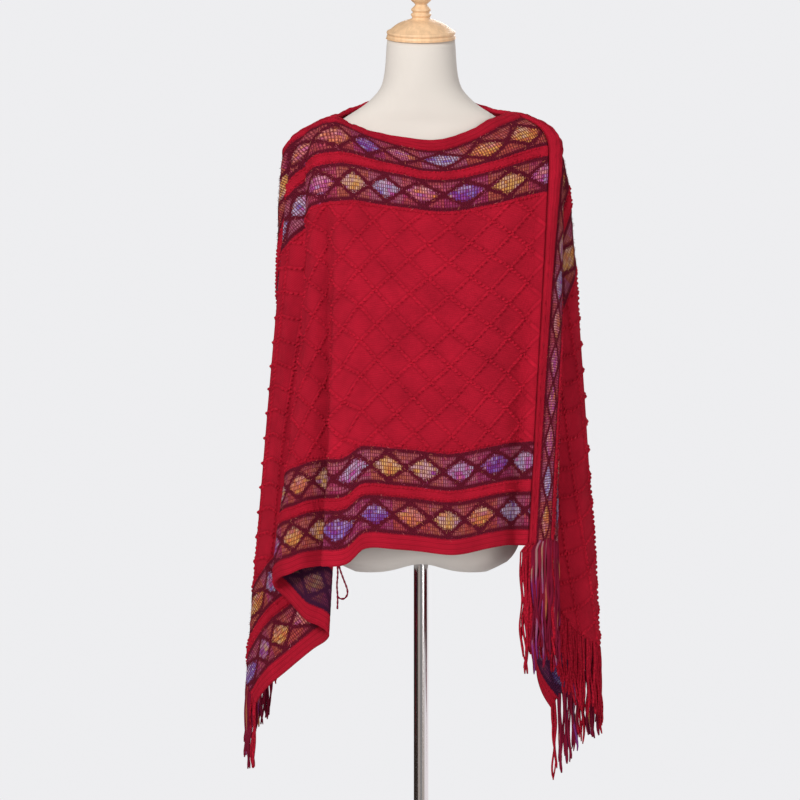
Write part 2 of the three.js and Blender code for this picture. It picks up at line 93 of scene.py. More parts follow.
# ---- colours: the dyes along the bands' yarn, by their share of its repeat
DYE = (
    (0.00, (0.20, 0.05, 0.42)), (0.12, (0.28, 0.20, 0.66)), (0.24, (0.62, 0.56, 0.76)),
    (0.36, (0.58, 0.08, 0.44)), (0.48, (0.78, 0.22, 0.26)), (0.60, (0.90, 0.26, 0.06)),
    (0.72, (0.95, 0.52, 0.14)), (0.84, (0.74, 0.42, 0.46)), (0.93, (0.42, 0.08, 0.42)),
    (1.00, (0.20, 0.05, 0.42)),
)
PALE_YARN, ROSY_YARN = (0.84, 0.55, 0.62), (0.74, 0.06, 0.10)
REVERSE_SHADE = (0.022, 0.009, 0.038)
SHEEN_TINT = (0.9, 0.12, 0.16, 1.0)
LINEN_THREAD = 0.0011

# ---- how the cloth leaves the neck and the shoulder
LEFT_DROP = 26.0
RIGHT_DROP = 32.0
CHEST_DROP = 40.0
NECK_STAND = 40.0
BULGE_DEPTH = 0.25
EASE_DEPTH = 0.7
SHOULDER_TURN = 62.0
QUICK_SHARE = 0.57
OUT_POWER = 0.9
FOLD_LAP_POWER = 1.9
FOLD_DEPTH_POWER = 0.9
SEAM_OUT = 48.0
SEAM_BACK = 34.0
SEAM_RISE = 40.0
SEAM_FADE = 172.0
SEAM_REACH = 0.65 * NECK_RUN
RING_X, RING_OUT, RING_DEEP, RING_BOW = -106.0, 134.0, 130.0, 12.0
RING_TURN = math.radians(161)

# Neck edge of each panel: along, x, y, z
FRONT_NECK = [
    (0, 130, -4, 1418), (36, 104, -30, 1407), (84, 66, -58, 1388), (140, 20, -72, 1376),
    (196, -36, -70, 1381), (252, -88, -46, 1392), (308, -128, -6, 1411),
]
BACK_NECK = [
    (0, 128, 6, 1411), (50, 100, -30, 1428), (104, 60, -65, 1450), (158, 5, -81, 1460),
    (212, -52, -69, 1452), (262, -98, -30, 1430), (308, -130, 4, 1418),
]

# Folds of each panel, one WIDTH down from the neck: along, x, y, ease
FRONT_FOLDS = [
    (0, 150, -114, 1.01), (28, 131, -98, 1.0), (56, 112, -122, 0.985), (84, 90, -134, 0.976),
    (150, 38, -142, 0.973), (230, -35, -142, 0.973), (280, -80, -137, 0.985),
    (308, -106, -130, 1.03), (336, -138, -121, 1.035), (364, -133, -108, 1.03),
    (392, -126, -96, 1.02), (420, -132, -85, 1.02), (448, -150, -83, 1.015),
    (476, -170, -82, 1.01), (504, -187, -78, 1.01), (532, -201, -69, 1.005),
    (560, -209, -54, 1.005), (588, -204, -40, 1.005), (616, -190, -43, 1.005),
    (644, -174, -55, 1.01), (672, -159, -65, 1.01), (700, -141, -69, 1.0),
    (728, -127, -63, 0.995), (756, -131, -49, 0.99), (784, -147, -36, 0.985),
    (840, -184, -20, 0.985), (896, -208, -12, 0.97), (952, -222, -2, 0.955),
    (1008, -240, 36, 0.965), (1064, -222, 56, 0.97), (1120, -194, 56, 0.965),
    (1176, -166, 61, 0.965), (1204, -158, 75, 0.97), (1232, -164, 88, 0.975),
    (1288, -188, 94, 0.985), (1330, -206, 97, 1.0), (1372, -213, 104, 1.0),
    (1414, -206, 113, 0.995), (1510, -184, 121, 0.99), (1560, -167, 119, 1.0),
    (1596, -150, 114, 1.01),
]
BACK_FOLDS = [
    (0, 150, -114, 1.01), (28, 133, -108, 1.0), (56, 114, -124, 0.995), (84, 92, -136, 0.99),
    (150, 40, -145, 0.985), (230, -35, -144, 0.985), (280, -80, -138, 0.99),
    (308, -106, -131, 1.0), (336, -139, -122, 1.0), (364, -133, -110, 1.0), (392, -127, -99, 1.0),
    (420, -134, -90, 1.0), (448, -152, -90, 1.0), (476, -171, -93, 1.0), (504, -190, -93, 1.0),
    (560, -226, -85, 1.0), (616, -246, -66, 1.0), (672, -234, -51, 1.0), (728, -208, -53, 1.0),
    (784, -178, -54, 1.0), (840, -160, -46, 0.995), (896, -160, -34, 0.99),
    (952, -173, -27, 0.982), (1008, -205, -32, 0.985), (1036, -220, -33, 0.99),
    (1064, -236, -25, 0.995), (1092, -245, -9, 1.0), (1120, -248, 7, 1.01),
    (1148, -243, 24, 1.02), (1176, -233, 39, 1.03), (1204, -217, 47, 1.035),
    (1260, -188, 58, 1.02), (1316, -156, 66, 1.0), (1344, -149, 78, 1.0), (1372, -157, 89, 0.99),
    (1428, -186, 94, 0.99), (1460, -191, 101, 0.99), (1510, -184, 110, 0.99),
    (1560, -168, 116, 1.0), (1596, -150, 114, 1.01),
]
PANELS = {
    "front": {
        "neck": FRONT_NECK,
        "folds": FRONT_FOLDS,
        "drops": (RIGHT_DROP, LEFT_DROP),
        "top_ease": 1.05,
        "bulge": -9.0,
        "long_until": 0.0,
        "lean": 0.0,
        "curled": (250.0, 500.0),
        "turned": False,
    },
    "back": {
        "neck": BACK_NECK,
        "folds": BACK_FOLDS,
        "drops": (LEFT_DROP, RIGHT_DROP),
        "top_ease": 1.06,
        "bulge": 4.0,
        "long_until": 120.0,
        "lean": 13.0,
        "curled": (0.0, 0.0),
        "turned": True,
    },
}

# Soft creases, troughs below nought and ridges above: the panel, the place along the lower edge,
# where it starts and ends down the cloth, its width along the edge and its depth.
CREASES = [
    ("front", 52, 60, 520, 13, -2.2), ("front", 96, 40, 250, 16, 1.6),
    ("front", 128, 300, 640, 18, -1.4), ("front", 170, 20, 130, 14, -1.5),
    ("front", 205, 10, 160, 17, 1.4), ("front", 236, 260, 660, 20, 1.3),
    ("front", 268, 120, 640, 14, -2.6), ("front", 296, 60, 620, 15, 2.2),
    ("front", 470, 180, 640, 22, 1.8), ("front", 545, 120, 560, 18, -1.8),
    ("front", 905, 200, 780, 26, 1.8), ("front", 990, 240, 700, 22, -2.0),
    ("front", 1240, 220, 700, 26, 1.8), ("back", 60, 80, 480, 15, -2.0),
    ("back", 120, 160, 600, 18, 1.8), ("back", 190, 240, 640, 22, -1.8),
    ("back", 250, 60, 360, 16, 1.5), ("back", 290, 200, 640, 16, -2.0),
    ("back", 540, 160, 620, 24, 1.8), ("back", 700, 220, 640, 22, -1.8),
    ("back", 1100, 140, 760, 26, 1.8), ("back", 1150, 240, 700, 22, -1.6),
    ("back", 1290, 200, 640, 24, 1.8),
]

# ---- the dress form and the stand: z, half width, front depth, back depth
FORM = [
    (757, 96, 62, 70), (772, 126, 84, 92), (800, 143, 93, 98), (850, 149, 92, 102),
    (930, 137, 84, 92), (1020, 113, 78, 78), (1090, 116, 84, 78), (1170, 133, 102, 86),
    (1240, 146, 108, 92), (1300, 157, 90, 90), (1345, 166, 70, 82), (1372, 170, 57, 67),
    (1388, 158, 51, 59), (1402, 130, 46, 55), (1418, 105, 47, 54), (1436, 78, 47, 54),
    (1462, 57, 48, 54), (1529, 49, 46, 50),
]
SEAT_SPLIT = 14.0
SEAT_SPREAD = 40.0
SEAT_ROUND = 3.0
POLE_RADIUS = 10.5
POLE_FOOT, POLE_TOP = 8.3, 790.0
CAP_BASE = 1529.32
NECK_TILT = math.radians(15)
BASE_RADIUS = 170.0

# Turned pieces: radius and height
CAP = (
    (0.01, 0), (47, 0), (49.5, 1.2), (50, 3), (49.2, 5.2), (48.5, 6), (49.2, 6.8), (50, 9),
    (49, 11), (45, 13), (36, 20), (27, 24.5), (19, 27), (14, 29), (13, 31), (15, 35), (12, 38),
    (14.5, 42), (10, 47), (9, 50), (15, 56), (17.5, 65), (14, 75), (7, 81), (0.01, 82.5),
)
POLE = [(POLE_RADIUS, z) for z in (POLE_FOOT, POLE_FOOT + 0.5, 300, 600, POLE_TOP - 0.5, POLE_TOP)]
BASE = (
    (BASE_RADIUS, 0), (BASE_RADIUS, 6.5), (BASE_RADIUS - 0.6, 9.6), (BASE_RADIUS - 2.2, 11.3),
    (BASE_RADIUS - 4.5, 12), (27, 15), (23.5, 17), (21.5, 24), (20, 41), (18, 43.4),
    (POLE_RADIUS + 0.3, 44),
)

# ---- the stage: camera and lamps in metres, lens in millimetres, and each lamp's name, place,
# aim, width and watts
CAMERA_PLACE = (-0.0305, -4.0, 1.005)
LENS, SENSOR = 124.1, 36.0
LAMPS = (
    ("key", (-1.7, -2.9, 2.5), (0, 0, 1.05), 1.0, 88),
    ("fill", (2.1, -3.0, 1.3), (0, 0, 1.0), 1.8, 34),
    ("rim", (0.6, 2.6, 2.6), (0, 0, 1.1), 1.6, 30),
)


# ------------------------------------------------------------------ the lie of the cloth
def through(rows, along, columns):
    """A smooth curve through a table's columns, at places along it."""
    table = np.array(rows, float)
    at = table[:, 0]
    i = np.clip(np.searchsorted(at, along, side="left") - 1, 0, len(at) - 2)
    before, after = np.maximum(i - 1, 0), np.minimum(i + 2, len(at) - 1)
    span = at[i + 1] - at[i]
    t = np.clip((along - at[i]) / span, 0, 1)
    found = []
    for c in columns:
        value = table[:, c]
        leave = (value[i + 1] - value[before]) / (at[i + 1] - at[before])
        arrive = (value[after] - value[i]) / (at[after] - at[i])
        found.append(
            (2 * t**3 - 3 * t**2 + 1) * value[i]
            + (t**3 - 2 * t**2 + t) * span * leave
            + (3 * t**2 - 2 * t**3) * value[i + 1]
            + (t**3 - t**2) * span * arrive
        )
    return found


def hang_line(u, v):
    """Where the hang line through a cut point meets the lower edge, and how far down it is."""
    over = np.maximum(u - NECK_RUN, 0)
    down = np.where(u > NECK_RUN, np.hypot(over, v), v)
    steep = NECK_RUN + WIDTH * over / np.maximum(v, 1e-9)
    flat = LOWER_EDGE - WIDTH * v / np.maximum(over, 1e-9)
    along = np.where(u <= NECK_RUN, u, np.where(over <= v, steep, flat))
    return along, down


def ring(along):
    """The smooth ring that the folds swing about, one WIDTH down."""
    end_x = RING_X - RING_OUT * math.sin(RING_TURN)
    end_y = -RING_DEEP * math.cos(RING_TURN)
    angle = RING_TURN * (along - NECK_RUN) / (LOWER_EDGE - NECK_RUN)
    t = along / NECK_RUN
    bow = RING_BOW * np.sin(math.pi * t)
    round_x, round_y = RING_X - RING_OUT * np.sin(angle), -RING_DEEP * np.cos(angle)
    past = along > NECK_RUN
    x = np.where(past, round_x, -end_x + (RING_X + end_x) * t)
    y = np.where(past, round_y, -end_y + (-RING_DEEP + end_y) * t - bow)
    return x, y


def cloth(panel, along, down):
    """Points of a panel's middle in its own frame, by their places on the hang lines."""
    top_x, top_y, top_z = through(panel["neck"], np.minimum(along, NECK_RUN), (1, 2, 3))
    fold_x, fold_y, ease = through(panel["folds"], along, (1, 2, 3))
    ring_x, ring_y = ring(along)
    next_x, next_y = ring(along + 1)
    depth = down / WIDTH
    neck_share = np.minimum(along / NECK_RUN, 1)
    middle = np.sin(math.pi * neck_share)
    stand = NECK_STAND * middle**2
    turning = np.maximum(down - stand * (1 - np.exp(-down / NECK_STAND)), 0)
    out = QUICK_SHARE * np.tanh(turning / SHOULDER_TURN) + (1 - QUICK_SHARE) * depth**OUT_POWER
    length = np.hypot(next_x - ring_x, next_y - ring_y)
    run_x, run_y = (next_x - ring_x) / length, (next_y - ring_y) / length
    lap = (fold_x - ring_x) * run_x + (fold_y - ring_y) * run_y
    swing = (fold_x - ring_x) * -run_y + (fold_y - ring_y) * run_x
    lap = lap * np.minimum(depth, 1) ** FOLD_LAP_POWER
    swing = swing * np.minimum(depth, 1) ** FOLD_DEPTH_POWER
    rise = 1 - np.exp(-((down / SEAM_RISE) ** 2))
    seam_x = SEAM_OUT * rise * np.maximum(1 - depth, 0)
    seam_y = SEAM_BACK * rise * np.exp(-((down / SEAM_FADE) ** 2))
    near_start = np.cos(math.pi / 2 * np.minimum(along / SEAM_REACH, 1)) ** 2
    near_end = np.sin(math.pi / 2 * np.maximum((along - LENGTH) / WIDTH, 0)) ** 2
    pull = near_start - near_end
    first, last = panel["drops"]
    shoulder = first + (last - first) * neck_share
    saved = shoulder + (CHEST_DROP - shoulder) * middle
    fan = np.sin(math.pi * np.clip((along - NECK_RUN) / (LOWER_EDGE - NECK_RUN), 0, 1)) ** 2
    swing = swing + panel["bulge"] * fan * depth / BULGE_DEPTH * np.exp(1 - depth / BULGE_DEPTH)
    ease = ease + (panel["top_ease"] - ease) * fan * np.maximum(1 - depth / EASE_DEPTH, 0)
    x = top_x + (ring_x - top_x) * out + lap * run_x - swing * run_y + seam_x * pull
    y = top_y + (ring_y - top_y) * out + lap * run_y + swing * run_x + seam_y * pull
    z = top_z - (down - saved * (1 - np.exp(-turning / saved))) * ease
    return np.stack([x, y, z], axis=-1)


def unit(vectors):
    return vectors / np.maximum(np.linalg.norm(vectors, axis=-1, keepdims=True), 1e-9)


def ease_in(t):
    t = np.clip(t, 0, 1)
    return t * t * (3 - 2 * t)


def seam_normal(panel, along, down):
    """The outward way at a seam, shared by the two panels that meet there."""
    step = 3.0
    here = cloth(panel, along, down)
    run = unit(cloth(panel, along, down + step) - cloth(panel, along, np.maximum(down - step, 0)))
    rise = np.maximum(60 - down, 0)
    outward = np.stack([here[..., 0] * SEAM_LEAN, here[..., 1], rise], axis=-1)
    return unit(outward - run * np.sum(outward * run, axis=-1, keepdims=True))


def cloth_normal(panel, u, v):
    """The outward way of the cloth, led over to that of the seams beside them."""
    step = 3.0

    def at(du, dv):
        return cloth(panel, *hang_line(np.maximum(u + du, 0), np.maximum(v + dv, 0.4)))

    normal = unit(np.cross(at(step, 0) - at(-step, 0), at(0, step) - at(0, -step)))
    by_end = ease_in(1 - (u - SEAM_GAP) / SEAM_BLEND)[..., None]
    normal = unit(normal * (1 - by_end) + seam_normal(panel, 0 * u, v) * by_end)
    past = np.maximum(u - NECK_RUN, 0)
    by_edge = (ease_in(1 - (v - SEAM_GAP) / SEAM_BLEND) * ease_in(past / 30))[..., None]
    edge = seam_normal(panel, 0 * u + LOWER_EDGE, past)
    return unit(normal * (1 - by_edge) + edge * by_edge)


def crease_at(name, along, down):
    """How far the creases lift the cloth."""
    lift = 0 * along
    for owner, place, start, end, wide, deep in CREASES:
        if owner != name:
            continue
        across = (along - place) / (wide * (0.7 + 0.6 * np.clip(down / WIDTH, 0, 1)))
        middle, half = (start + end) / 2, (end - start) / 2
        window = np.cos(math.pi / 2 * np.clip((down - middle) / half, -1, 1)) ** 1.5
        lift = lift + deep * np.exp(-(across**2)) * window
    return lift


def lay(name, u, v, rise):
    """Points of a panel in millimetres in the part's frame, rise out from the cloth's middle."""
    panel = PANELS[name]
    along, down = hang_line(u, v)
    base = cloth(panel, along, down)
    normal = cloth_normal(panel, u, v)
    lift = rise + crease_at(name, along, down) * ease_in((u - 8) / 30) * ease_in((v - 4) / 30)
    return turned(name, base + normal * lift[..., None])


def turned(name, points):
    """The back panel's points, turned half round; the front panel's as they are."""
    return points * np.array([-1.0, -1.0, 1.0]) if PANELS[name]["turned"] else points


# ------------------------------------------------------------------ relief
def bump_row(x, middle, half):
    """A rounded ridge across x."""
    return np.sqrt(np.clip(1 - ((x - middle) / half) ** 2, 0, 1))


def lattice_ridge(u, v):
    """1 on the lines of the diamond lattice, fading to 0 beside them."""
    a = u / HALF_DIAMOND + (v - TRIM) / FIELD_STEP
    b = u / HALF_DIAMOND - (v - TRIM) / FIELD_STEP
    near = np.minimum(np.abs(a - 2 * np.round(a / 2)), np.abs(b - 2 * np.round(b / 2)))
    return np.exp(-((near * LATTICE_SPREAD / 3.0) ** 2))


def relief(u, v):
    """Height of the knit's own relief above the plain wall."""
    edge = np.minimum(v, WIDTH - v)
    roll = np.where(v < WIDTH / 2, NECK_ROLL, HEM_ROLL)
    outer, middle, inner = (rise * bump_row(edge, at, half) for at, half, rise in RIBS)
    ribs = np.maximum(outer + middle, inner)
    wobble = 1 + 0.20 * np.sin(u / 8.0 + 2 * np.sin(u / 37.0)) + 0.12 * np.sin(u / 3.1 + edge)
    height = roll * ribs * wobble
    for start in (BORDER, BORDER + BAND + STRIPE):
        across = np.abs(edge - start - BAND / 2)
        piping = PIPING_RISE * bump_row(across, PIPING_AT, PIPING_HALF) * wobble
        trellis = np.where(across < TRELLIS_REACH, TRELLIS_RISE * trellis_at(u, across), 0)
        height = height + piping + trellis
    stripe = bump_row(edge, BORDER + BAND + STRIPE / 2, STRIPE / 2)
    scallop = 1 + 0.22 * np.cos(2 * math.pi * u / BEAD_PITCH)
    height = height + STRIPE_RISE * stripe * scallop
    return height + LATTICE_RISE * ease_in((edge - TRIM) / 6) * lattice_ridge(u, v)


def trellis_at(u, across):
    """1 on the crossed yarns of a band."""
    x = np.abs((u / MOTIF) % 1 - 0.5) * 2
    d = x + np.abs(across) / MOTIF_HALF
    return np.exp(-(((d - 1) / 0.16) ** 2))


# ------------------------------------------------------------------ meshes
def grid_faces(rows, columns, start=0, flip=False):
    """Four-sided faces over a grid of points."""
    r, c = np.meshgrid(np.arange(rows - 1), np.arange(columns - 1), indexing="ij")
    a = start + r * columns + c
    quads = np.stack([a, a + columns, a + columns + 1, a + 1], axis=-1).reshape(-1, 4)
    return quads[:, ::-1] if flip else quads


def tube_faces(rings, sides):
    """Faces of a closed tube, whose rings of points come before its foot's point and its top's."""
    faces = []
    last, foot, top = (rings - 1) * sides, rings * sides, rings * sides + 1
    ends = [(k, (k + 1) % sides) for k in range(sides)]
    for a in range(0, last, sides):
        faces += [(a + k, a + n, a + sides + n, a + sides + k) for k, n in ends]
    for k, n in ends:
        faces += [(foot, n, k), (top, last + k, last + n)]
    return faces


def place_in_cut(u, v, side=0):
    """Values for cut_place: metres along and across, then 1 on the reverse or a strand's tone."""
    return np.stack([u * MM, v * MM, 0 * u + side], axis=-1)


def build(name, points, faces, material, cut=None, smooth=True):
    """A mesh object from points in millimetres."""
    mesh = bpy.data.meshes.new(name)
    mesh.from_pydata((np.asarray(points) * MM).tolist(), [], faces)
    if cut is not None:
        place = mesh.attributes.new("cut_place", "FLOAT_VECTOR", "POINT")
        place.data.foreach_set("vector", np.asarray(cut, np.float32).ravel())
    mesh.polygons.foreach_set("use_smooth", [smooth] * len(mesh.polygons))
    mesh.materials.append(material)
    mesh.update()
    piece = bpy.data.objects.new(name, mesh)
    bpy.context.scene.collection.objects.link(piece)
    return piece


def panel_mesh(name, cell, wall):
    """A closed knitted wall: a fine outer face with its relief over a plainer inner face."""
    columns = 2 * round((LENGTH - 1) / cell / 2) + 1
    rows = 2 * round(WIDTH / cell / 2) + 1
    u = np.linspace(SEAM_GAP, LENGTH - 0.5, columns)
    v = np.linspace(SEAM_GAP, WIDTH, rows)
    vv, uu = np.meshgrid(v, u, indexing="ij")
    fade = ease_in((uu - SEAM_GAP) / 4)
    outer = lay(name, uu, vv, wall / 2 + relief(uu, vv) * fade)
    vi, ui = vv[::2, ::2], uu[::2, ::2]
    around = np.sin(math.pi * np.clip(ui / NECK_RUN, 0, 1))
    inner = lay(name, ui, vi, -wall / 2 - 2.6 * bump_row(vi, 9.0, 11.0) * around)
    half_rows, half_columns = vi.shape
    start = rows * columns
    faces = grid_faces(rows, columns).tolist()
    faces += grid_faces(half_rows, half_columns, start, flip=True).tolist()
    outer_ids = np.arange(rows * columns).reshape(rows, columns)
    inner_ids = start + np.arange(half_rows * half_columns).reshape(half_rows, half_columns)
    top, bottom, left, right = np.s_[0, :], np.s_[-1, :], np.s_[:, 0], np.s_[:, -1]
    for side, flip in ((top, False), (bottom, True), (left, True), (right, False)):
        fine, coarse = outer_ids[side].tolist(), inner_ids[side].tolist()
        for k, (i, j) in enumerate(zip(coarse, coarse[1:])):
            a, m, b = fine[2 * k : 2 * k + 3]
            for tri in ((i, a, m), (i, m, j), (j, m, b)):
                faces.append(tri[::-1] if flip else tri)
    points = np.concatenate([outer.reshape(-1, 3), inner.reshape(-1, 3)])
    places = [place_in_cut(uu, vv).reshape(-1, 3), place_in_cut(ui, vi, 1).reshape(-1, 3)]
    return points, faces, np.concatenate(places)


def lattice_mesh(name, wall):
    """The raised purl stitches along the lattice's lines, each a small oval dome."""
    centres = []
    for c in range(int(LENGTH / HALF_DIAMOND)):
        for r in range(FIELD_ROWS):
            for k in range(BEADS_PER_LINE):
                t = (k + 0.5) / BEADS_PER_LINE
                down = 1 - t if (c + r) % 2 else t
                centres.append(((c + t) * HALF_DIAMOND, TRIM + (r + down) * FIELD_STEP))
    stripe = BORDER + BAND
    for edge, pitch in ((TRIM + 3.5, 6.4), (stripe + 2.4, 6.0), (stripe + STRIPE - 2.4, 6.0)):
        for u in np.arange(17, LENGTH - 6, pitch):
            centres += [(u, edge), (u + pitch / 2, WIDTH - edge)]
    centres = np.array([place for place in centres if place[0] > 14])
    rng = np.random.default_rng(11)
    centres += rng.normal(0, 0.45, centres.shape)
    size = rng.uniform(0.85, 1.15, len(centres))
    angle = 2 * math.pi * np.arange(BEAD_SIDES) / BEAD_SIDES
    points, cut = [], []
    for share, height in BEAD_RINGS:
        around = angle if share else angle[:1]
        u = centres[:, :1] + share * BEAD_LONG * size[:, None] * np.cos(around)
        v = centres[:, 1:] + share * BEAD_WIDE * size[:, None] * np.sin(around)
        rise = wall / 2 + relief(u, v) - 0.3 + height * size[:, None]
        points.append(lay(name, u, v, rise))
        cut.append(place_in_cut(u, v))
    points, cut = (np.concatenate(rows, axis=1).reshape(-1, 3) for rows in (points, cut))
    ends = [(k, (k + 1) % BEAD_SIDES) for k in range(BEAD_SIDES)]
    low = np.array([(k, BEAD_SIDES + k, BEAD_SIDES + n, n) for k, n in ends])
    top = np.array([(BEAD_SIDES + k, 2 * BEAD_SIDES, BEAD_SIDES + n) for k, n in ends])
    starts = np.arange(len(centres))[:, None, None] * (2 * BEAD_SIDES + 1)
    faces = (starts + low).reshape(-1, 4).tolist() + (starts + top).reshape(-1, 3).tolist()
    return points, faces, cut


def fuzz_mesh(name, wall, count):
    """Loose hairs brushed out of the bands, each a bent ribbon three points long."""
    rng = np.random.default_rng(21 if name == "front" else 34)
    starts = (BORDER, BORDER + BAND + STRIPE)
    starts += tuple(WIDTH - start - BAND for start in starts)
    u = rng.uniform(8, LENGTH - 8, count)
    v = rng.choice(starts, count) + rng.uniform(0, BAND, count)
    heading = rng.uniform(0, 2 * math.pi, count)
    length = rng.uniform(3.0, 6.5, count)
    bend = rng.normal(0, 0.5, count)
    wide = rng.uniform(0.14, 0.26, count)
    points, cut = [], []
    for share, lift in ((0.0, 0.2), (0.5, 1.0), (1.0, 0.8)):
        turn = heading + bend * share
        du, dv = np.cos(turn), np.sin(turn)
        rise = wall / 2 + relief(u, v) * 0.9 + lift * rng.uniform(0.5, 2.2, count)
        for side in (-1, 1) if share < 1 else (0,):
            pu = np.clip(u + share * length * du - side * wide * dv, 3, LENGTH - 1)
            pv = np.clip(v + share * length * dv + side * wide * du, 3, WIDTH - 1)
            points.append(lay(name, pu, pv, rise))
            cut.append(place_in_cut(u, v))
    points, cut = (np.stack(rows, axis=1).reshape(-1, 3) for rows in (points, cut))
    first = 5 * np.arange(count)[:, None]
    faces = (first + np.array([0, 1, 3, 2])).tolist() + (first + np.array([2, 3, 4])).tolist()
    return points, faces, cut


# ------------------------------------------------------------------ fringe
def strand_tube(path, radius, sides=6, twist=0.45, lobes=2, lobe=0.22):
    """A twisted yarn round a path of points, as points and faces."""
    path = np.asarray(path, float)
    run = unit(np.gradient(path, axis=0))
    side = unit(np.cross(run, np.array([0.31, 0.95, 0.05])))
    other = np.cross(run, side)
    far = np.concatenate([[0], np.cumsum(np.linalg.norm(np.diff(path, axis=0), axis=1))])
    angle = 2 * math.pi * np.arange(sides) / sides
    swell = 1 + lobe * np.cos(lobes * (angle[None] - twist * far[:, None]))
    radius = np.broadcast_to(radius, far.shape)[:, None] * swell
    ring_points = (
        path[:, None]
        + radius[..., None] * np.cos(angle)[None, :, None] * side[:, None]
        + radius[..., None] * np.sin(angle)[None, :, None] * other[:, None]
    )
    points = np.concatenate([ring_points.reshape(-1, 3), path[:1], path[-1:]])
    return points, tube_faces(len(path), sides)


class Bundle:
    """Joins many small tubes into one mesh."""

    def __init__(self):
        self.points, self.faces, self.cut, self.count = [], [], [], 0

    def add(self, path, radius, cut):
        points, faces = strand_tube(path, radius)
        self.points.append(points)
        self.faces += [tuple(self.count + i for i in face) for face in faces]
        self.cut.append(np.broadcast_to(np.asarray(cut, float), points.shape))
        self.count += len(points)

    def build(self, name, material):
        points, cut = np.concatenate(self.points), np.concatenate(self.cut)
        return build(name, points, self.faces, material, cut)


# A loose end and a snagged loop below the hem: across and down from where they leave it.
LOOSE_YARN = (
    ((0, 2), (0.5, -14), (-0.6, -30), (0.4, -46), (0, -63)),
    ((1.5, 2), (4, -8), (9, -22), (13.5, -34), (14, -42), (10.5, -47.5), (5, -48.5), (-1, -45)),
)
LOOSE_AT = -118.0
LOOSE_RADIUS = 1.3
LOOSE_ROW, LOOSE_TONE = BORDER + BAND / 2, 0.8


def add_loose_yarn(bundle, name):
    """Hangs the loose yarn from the hem near LOOSE_AT, rather than from its low fold."""
    places = np.arange(NECK_RUN, LENGTH, 2.0)
    hem = cloth(PANELS[name], places, hang_line(places, 0 * places + WIDTH - 3)[1])
    spare = np.abs(hem[:, 0] - LOOSE_AT) + 0.2 * np.maximum(760 - hem[:, 2], 0)
    start = hem[int(np.argmin(spare))]
    for run in LOOSE_YARN:
        rows = [(i, across, down) for i, (across, down) in enumerate(run)]
        at = np.linspace(0, len(run) - 1, 8 * len(run))
        across, down = through(rows, at, (1, 2))
        path = start + np.stack([across, 0 * across, down], axis=-1)
        bundle.add(turned(name, path), LOOSE_RADIUS, place_in_cut(LENGTH, LOOSE_ROW, LOOSE_TONE))


def fringe(name, lengths, long_lengths, radius):
    """The strands of a fringed end, each hanging from its place along the end."""
    bundle = Bundle()
    rng = np.random.default_rng(5 if name == "front" else 9)
    panel = PANELS[name]
    first, last = panel["curled"]
    for i, v0 in enumerate(np.arange(5, WIDTH - 2, STRAND_PITCH)):
        for _ in range(3 if v0 < panel["long_until"] else 2):
            v = v0 + rng.uniform(-2.6, 2.6)
            share = 0.5 + 0.32 * math.sin(i * 2.4) + 0.18 * math.sin(i * 0.37 + 1)
            shortest, longest = long_lengths if v < panel["long_until"] else lengths
            length = (shortest + (longest - shortest) * share) * rng.uniform(0.93, 1.03)
            if first < v < last:
                length *= rng.uniform(0.38, 0.62)
            along, down = hang_line(np.array([LENGTH - 3.0]), np.array([v]))
            s = np.linspace(0, length, max(int(length / 6), 8))
            path = cloth(panel, 0 * s + along, down + s)
            fall = path[0] + np.stack([0 * s, 0 * s, -s], axis=-1)
            blend = ease_in(s / 60)[:, None] * 0.6
            path = path * (1 - blend) + fall * blend
            path[:, 0] += panel["lean"] * max(1 - v / 60, 0) * ease_in(s / 11)
            phase = rng.uniform(0, 6.28, 4)
            wave = rng.uniform(0.8, 3.2) * (s / length) ** 0.6
            path[:, 0] += wave * np.sin(s / 13 + phase[0]) + rng.normal(0, 0.8)
            path[:, 1] += wave * np.sin(s / 17 + phase[1]) + rng.normal(0, 0.8)
            taper = radius * rng.uniform(0.85, 1.15) * np.minimum(1, (length - s) / 8 + 0.55)
            bundle.add(turned(name, path), taper, place_in_cut(LENGTH, v, rng.uniform(0, 1)))
    if name == "front":
        add_loose_yarn(bundle, name)
    return bundle


# ------------------------------------------------------------------ turned and lofted pieces
def lathe(profile, sides):
    """Points and faces of a turned piece from radius and height rows."""
    angle = 2 * math.pi * np.arange(sides) / sides
    radius, z = np.array(profile, float).T[..., None]
    rings = np.stack([radius * np.cos(angle), radius * np.sin(angle), 0 * angle + z], axis=-1)
    ends = [[0, 0, profile[0][1]], [0, 0, profile[-1][1]]]
    return np.concatenate([rings.reshape(-1, 3), ends]), tube_faces(len(profile), sides)


def rounded(profile, steps):
    """A finer profile through rows of radius and height."""
    rows = [(i, radius, z) for i, (radius, z) in enumerate(profile)]
    at = np.linspace(0, len(rows) - 1, steps * (len(rows) - 1) + 1)
    radius, z = through(rows, at, (1, 2))
    return list(zip(np.maximum(radius, 0.01), z))


def leaned(points):
    """Points turned about the x axis by the neck's tilt."""
    cos, sin = math.cos(NECK_TILT), math.sin(NECK_TILT)
    return points @ np.array(((1, 0, 0), (0, cos, sin), (0, -sin, cos)))


